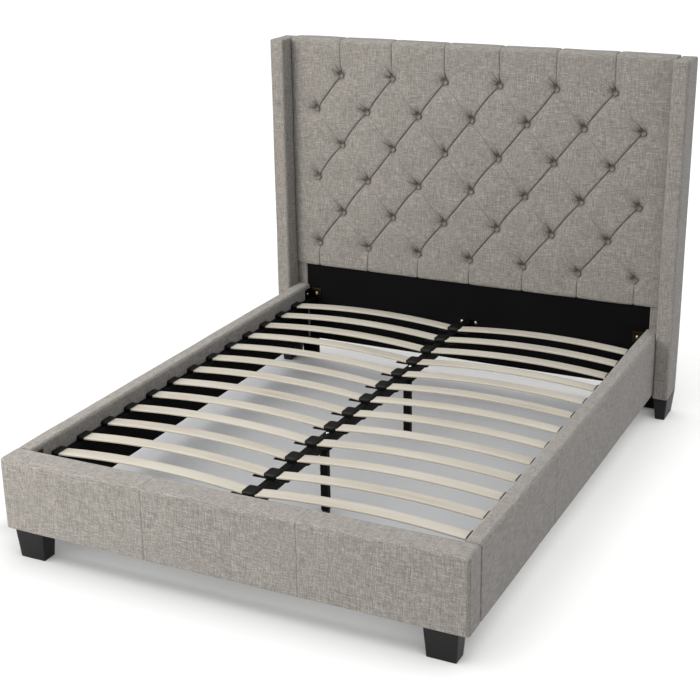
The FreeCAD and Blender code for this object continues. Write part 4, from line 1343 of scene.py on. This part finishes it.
# %% [markdown]
# ## Bolts
#
# All screws are button heads with a hexagon socket. The frame says where each one is and how long;
# its head points to the inside of the bed, or up where a bolt goes down through the beam.

# %% Bolts
HEAD_PROFILE = [(7.2, 0.0), (7.5, 0.3), (7.5, 1.0), (7.0, 2.3), (6.0, 3.4), (4.7, 4.2), (3.5, 4.5)]
HEAD_HIGH = HEAD_PROFILE[-1][1] * MM


def make_bolts(name, node):
    """Every bolt of a group as one piece."""
    parts = []
    for low, high in islands(node):
        size = high - low
        axis = int(np.argmax(size))
        seat = (low + high) / 2
        heads_up = axis == 2 or seat[axis] < 0
        pointing = np.zeros(3)
        pointing[axis] = 1 if heads_up else -1
        shank = size[axis] - HEAD_HIGH
        seat[axis] = (high[axis] - HEAD_HIGH) if heads_up else (low[axis] + HEAD_HIGH)
        rings = [(circle(3.2 * MM), -shank), (circle(4 * MM), -shank + 0.8 * MM),
                 (circle(4 * MM), -0.01 * MM)]
        rings += [(circle(radius * MM), rise * MM) for radius, rise in HEAD_PROFILE]
        rings += [(hexagon(2.9 * MM), 4.45 * MM), (hexagon(2.85 * MM), 1.8 * MM)]
        parts.append(turned(rings, seat, pointing, spin=len(parts) * 0.7))
    print("%-13s %2d bolts" % (name, len(parts)))
    piece(name, *joined(parts), BRIGHT_ZINC, "bolt_steel", [node], flat_angle=35)


make_bolts("bracket_bolts", "frame_bolts")
make_bolts("beam_bolts", "leg_bolts")

# %% [markdown]
# ## Boards
#
# Sawn boards have eased edges, about a millimetre, which catch a thin line of light. Boards that show
# are rebuilt with that edge; the ones inside keep the frame's own solids and only get a small bevel
# and a finish.

# %% Boards
for name, node in (("mattress_panel", "headboard_lower_panel"), ("post_timbers", "headboard_posts"),
                   ("ledge_left", "slat_ledge_left"), ("ledge_right", "slat_ledge_right")):
    parts = [rounded_box(low, high, [1.2 * MM] * 3, 90 * MM) for low, high in islands(node)]
    piece(name, *joined(parts), PAINTED_BOARD, "black_board", [node], flat_angle=60)
    print("%-15s %d boards" % (name, len(parts)))


def refinish(node, finish, bevel=0.8 * MM):
    """Keeps a solid of the frame, with its own finish and eased edges."""
    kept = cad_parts[node]
    if not kept.material_slots:
        kept.data.materials.append(finish)
    for slot in kept.material_slots:
        slot.link = "OBJECT"
        slot.material = finish
    merged = kept.modifiers.new("merged", "WELD")
    merged.merge_threshold = 0.01 * MM
    eased = kept.modifiers.new("eased_edges", "BEVEL")
    eased.width = bevel
    eased.segments = 2
    eased.limit_method = "ANGLE"
    eased.angle_limit = math.radians(40)


for node in ("rail_core_left", "rail_core_right", "footboard_core", "wing_core_left", "wing_core_right"):
    refinish(node, PAINTED_BOARD)
refinish("headboard_backboard", PINE)
refinish("headboard_battens", PINE)
refinish("corner_brackets", YELLOW_ZINC, 0.6 * MM)
refinish("beam_brackets", POWDER_COAT, 0.5 * MM)

# %% [markdown]
# ## Back cloth
#
# The back is closed with black spunbond cloth, stretched from edge to edge and stapled through a
# turned hem. Between two staples the cloth is a little slack, so its edge waves with the staples'
# spacing; the waves die away towards the middle.

# %% Back cloth and staples
cloth_low, cloth_high = corners_of("headboard_back_cloth")
HEM = 15 * MM
STAPLE_EVERY = 64 * MM
CLOTH_THICK = 0.7 * MM


def edge_places(low, high, count):
    """Even places with close ones along the turned hem at both ends."""
    close = np.array([0, 3, 7, 11, 14, 15.5, 18]) * MM
    even = np.linspace(low, high, count)
    return np.unique(np.round(np.concatenate([even, low + close, high - close]), 6))


cloth_x = edge_places(cloth_low[0], cloth_high[0], 140)
cloth_z = edge_places(cloth_low[2], cloth_high[2], 110)
grid_x, grid_z = np.meshgrid(cloth_x, cloth_z, indexing="ij")
from_side = np.minimum(grid_x - cloth_low[0], cloth_high[0] - grid_x)
from_end = np.minimum(grid_z - cloth_low[2], cloth_high[2] - grid_z)
from_edge = np.minimum(from_side, from_end)
along_edge = np.where(from_side < from_end, grid_z, grid_x)
slack = 0.8 * MM * (0.5 - 0.5 * np.cos(along_edge * 2 * math.pi / STAPLE_EVERY))
slack *= np.exp(-from_edge / (45 * MM))
broad = 0.5 * MM * unevenness(np.stack([grid_x, 0 * grid_x, grid_z], -1).reshape(-1, 3), 0.45, 41)
slack += broad.reshape(grid_x.shape) * np.clip(from_edge / 0.1, 0, 1)
turned_hem = CLOTH_THICK * (0.5 - 0.5 * np.tanh((from_edge - HEM) / (1.4 * MM)))
cloth_y = cloth_high[1] - 0.8 * MM + slack + turned_hem
cloth_points = np.stack([grid_x, cloth_y, grid_z], -1).reshape(-1, 3)
across = len(cloth_z)
cloth_faces = [[i * across + j, i * across + j + 1, (i + 1) * across + j + 1, (i + 1) * across + j]
               for i in range(len(cloth_x) - 1) for j in range(across - 1)]
back = np.tile([0.0, 1.0, 0.0], (len(cloth_points), 1))
cloth = hollow(cloth_points, cloth_faces, back, CLOTH_THICK)
back_cloth = piece("stretched_back_cloth", *cloth, DUST_CLOTH, "back_cloth", ["headboard_back_cloth"],
                   flat_angle=50)

staples = []
inset = 8 * MM
for x in np.arange(cloth_low[0] + STAPLE_EVERY / 2, cloth_high[0], STAPLE_EVERY):
    staples += [(x, cloth_low[2] + inset, 1), (x, cloth_high[2] - inset, 1)]
for z in np.arange(cloth_low[2] + STAPLE_EVERY, cloth_high[2] - STAPLE_EVERY / 2, STAPLE_EVERY):
    staples += [(cloth_low[0] + inset, z, 0), (cloth_high[0] - inset, z, 0)]
wires = []
for x, z, level in staples:
    half = np.array([5, 0.5, 0.6] if level else [0.6, 0.5, 5]) * MM
    centre = np.array([x, cloth_high[1] + 0.5 * MM, z])
    wires.append(rounded_box(centre - half, centre + half, [0.4 * MM] * 3, 4 * MM))
wire_piece = piece("back_staples", *joined(wires), BRIGHT_ZINC, "bolt_steel", flat_angle=60)
print("%d staples" % len(staples))

# %% [markdown]
# ## Studio
#
# A white floor that runs to the horizon, with a softly edged painted shadow under the bed, a sky that
# is brightest overhead like a studio's ceiling of softboxes, and one large soft light from the front
# left. The sky fills the shadows; the soft light models the tufting and brightens the foot end. Seen
# directly, the backdrop is plain white.

# %% Floor, sky and light
# an even sky lights the floor through open slats more than studio lamps do, so a softly edged darker patch
# under the bed stands in for the deeper shade there
SHADE_MIDDLE = (-0.13, 0.06)
SHADE_HALF = (0.95, 1.10)
SHADE_SOFT = 0.82            # from this share of the patch outwards it fades
floor_finish, tree, shader, place = finish_of("studio_floor", Roughness=0.9, Specular_IOR_Level=0.1)
open_floor = ramp(tree, noise(tree, place, 2.0), [(0.3, "#F6F6F5"), (0.7, "#F8F8F7")])
across = add(tree, "SeparateXYZ", {"Vector": place}).outputs
shares = []
for axis in (0, 1):
    share = combine(tree, "SUBTRACT", across[axis], SHADE_MIDDLE[axis])
    share = combine(tree, "DIVIDE", share, SHADE_HALF[axis])
    shares.append(combine(tree, "ABSOLUTE", share))
shaded = mapped(tree, combine(tree, "MAXIMUM", *shares), SHADE_SOFT, 1.0, 1.0, 0.0,
                interpolation_type="SMOOTHSTEP")
paint(tree, shader, blended(tree, shaded, open_floor, linear("#CDCED0")))
floor_mesh = bpy.data.meshes.new("floor")
reach = 80.0                 # far enough that its edge is at the horizon
floor_corners = [(-reach, -reach, 0), (reach, -reach, 0), (reach, reach, 0), (-reach, reach, 0)]
floor_mesh.from_pydata(floor_corners, [], [(0, 1, 2, 3)])
floor_mesh.materials.append(floor_finish)
floor = bpy.data.objects.new("floor", floor_mesh)
bpy.context.scene.collection.objects.link(floor)
floor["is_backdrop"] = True

SKY_LEVEL = 0.10             # brightness near the horizon
SKY_OVERHEAD = 2.12
SKY_LEAN_RIGHT = 0.17        # how much brighter the right of the sky is than the middle
SKY_LEAN_FRONT = 0.5         # and its front
KEY_WATTS = 310.0
sky = bpy.data.worlds.new("softbox_sky")
sky.use_nodes = True
tree = sky.node_tree
sky_light = tree.nodes["Background"]
sky_light.inputs["Color"].default_value = linear("#FFFFFF")
parts = add(tree, "SeparateXYZ", {"Vector": add(tree, "TexCoord").outputs["Generated"]}).outputs
brightness = mapped(tree, parts["Z"], 0.3, 0.95, SKY_LEVEL, SKY_OVERHEAD)
leaning = combine(tree, "MULTIPLY_ADD", parts["X"], SKY_LEAN_RIGHT, 1.0)
leaning = combine(tree, "MULTIPLY_ADD", parts["Y"], -SKY_LEAN_FRONT, leaning)
strength = combine(tree, "MULTIPLY", brightness, leaning)
# seen directly, the backdrop is plain white down to the horizon; only its light is stronger overhead
seen = add(tree, "LightPath").outputs["Is Camera Ray"]
tree.links.new(mapped(tree, seen, 0.0, 1.0, strength, 1.0), sky_light.inputs["Strength"])
bpy.context.scene.world = sky

key = bpy.data.lights.new("soft_key", "AREA")
key.shape = "RECTANGLE"
key.size = 2.6
key.size_y = 2.2
key.energy = KEY_WATTS
key.color = linear("#FFFBF4")[:3]
key_lamp = bpy.data.objects.new("soft_key", key)
bpy.context.scene.collection.objects.link(key_lamp)
key_lamp.location = (-3.1, -3.8, 2.6)
aim = Vector((-1.5, 0.5, 0.7)) - key_lamp.location
key_lamp.rotation_euler = aim.to_track_quat("-Z", "Y").to_euler()
# the soft light falls on the bed alone, so the white floor keeps only the sky's soft shadows
lit_pieces = bpy.data.collections.new("lit_by_the_key")
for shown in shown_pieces():
    lit_pieces.objects.link(shown)
key_lamp.light_linking.receiver_collection = lit_pieces

# %% Camera
AZIMUTH = 26.365             # degrees to the right of straight ahead at the foot end
ELEVATION = 20.185           # degrees looking down
ROLL = -0.911
turn, tip, lean_angle = (math.radians(a) for a in (AZIMUTH, ELEVATION, ROLL))
forward = Vector((-math.sin(turn) * math.cos(tip), math.cos(turn) * math.cos(tip), -math.sin(tip)))
level_right = Vector((math.cos(turn), math.sin(turn), 0))
level_up = level_right.cross(forward)
right = level_right * math.cos(lean_angle) + level_up * math.sin(lean_angle)
up = level_up * math.cos(lean_angle) - level_right * math.sin(lean_angle)
lens = bpy.data.cameras.new("camera")
lens.lens = 72.289
lens.sensor_width = 36
camera = bpy.data.objects.new("camera", lens)
bpy.context.scene.collection.objects.link(camera)
facing = Matrix((right, up, -forward)).transposed().to_4x4()
camera.matrix_world = Matrix.Translation((2.12934, -4.44228, 2.31798)) @ facing
bpy.context.scene.camera = camera
bpy.context.scene.view_settings.view_transform = "Standard"
print("camera with a lens of %.0f mm" % lens.lens)

# %% [markdown]
# ## Finish
#
# The looks stay inside the frame's box, apart from what fabric may add. Both boxes are kept side by
# side, and how much larger the looks are is printed.

# %% Compare the sizes and finish
looks_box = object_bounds()
sizes = {"cad_box": [list(map(float, corner)) for corner in cad_box],
         "looks_box": [list(map(float, corner)) for corner in looks_box]}
grown = [round(float(looks_box[1][a] - looks_box[0][a] - cad_box[1][a] + cad_box[0][a]) / MM, 1)
         for a in range(3)]
print("looks are larger than the frame by", grown, "mm")
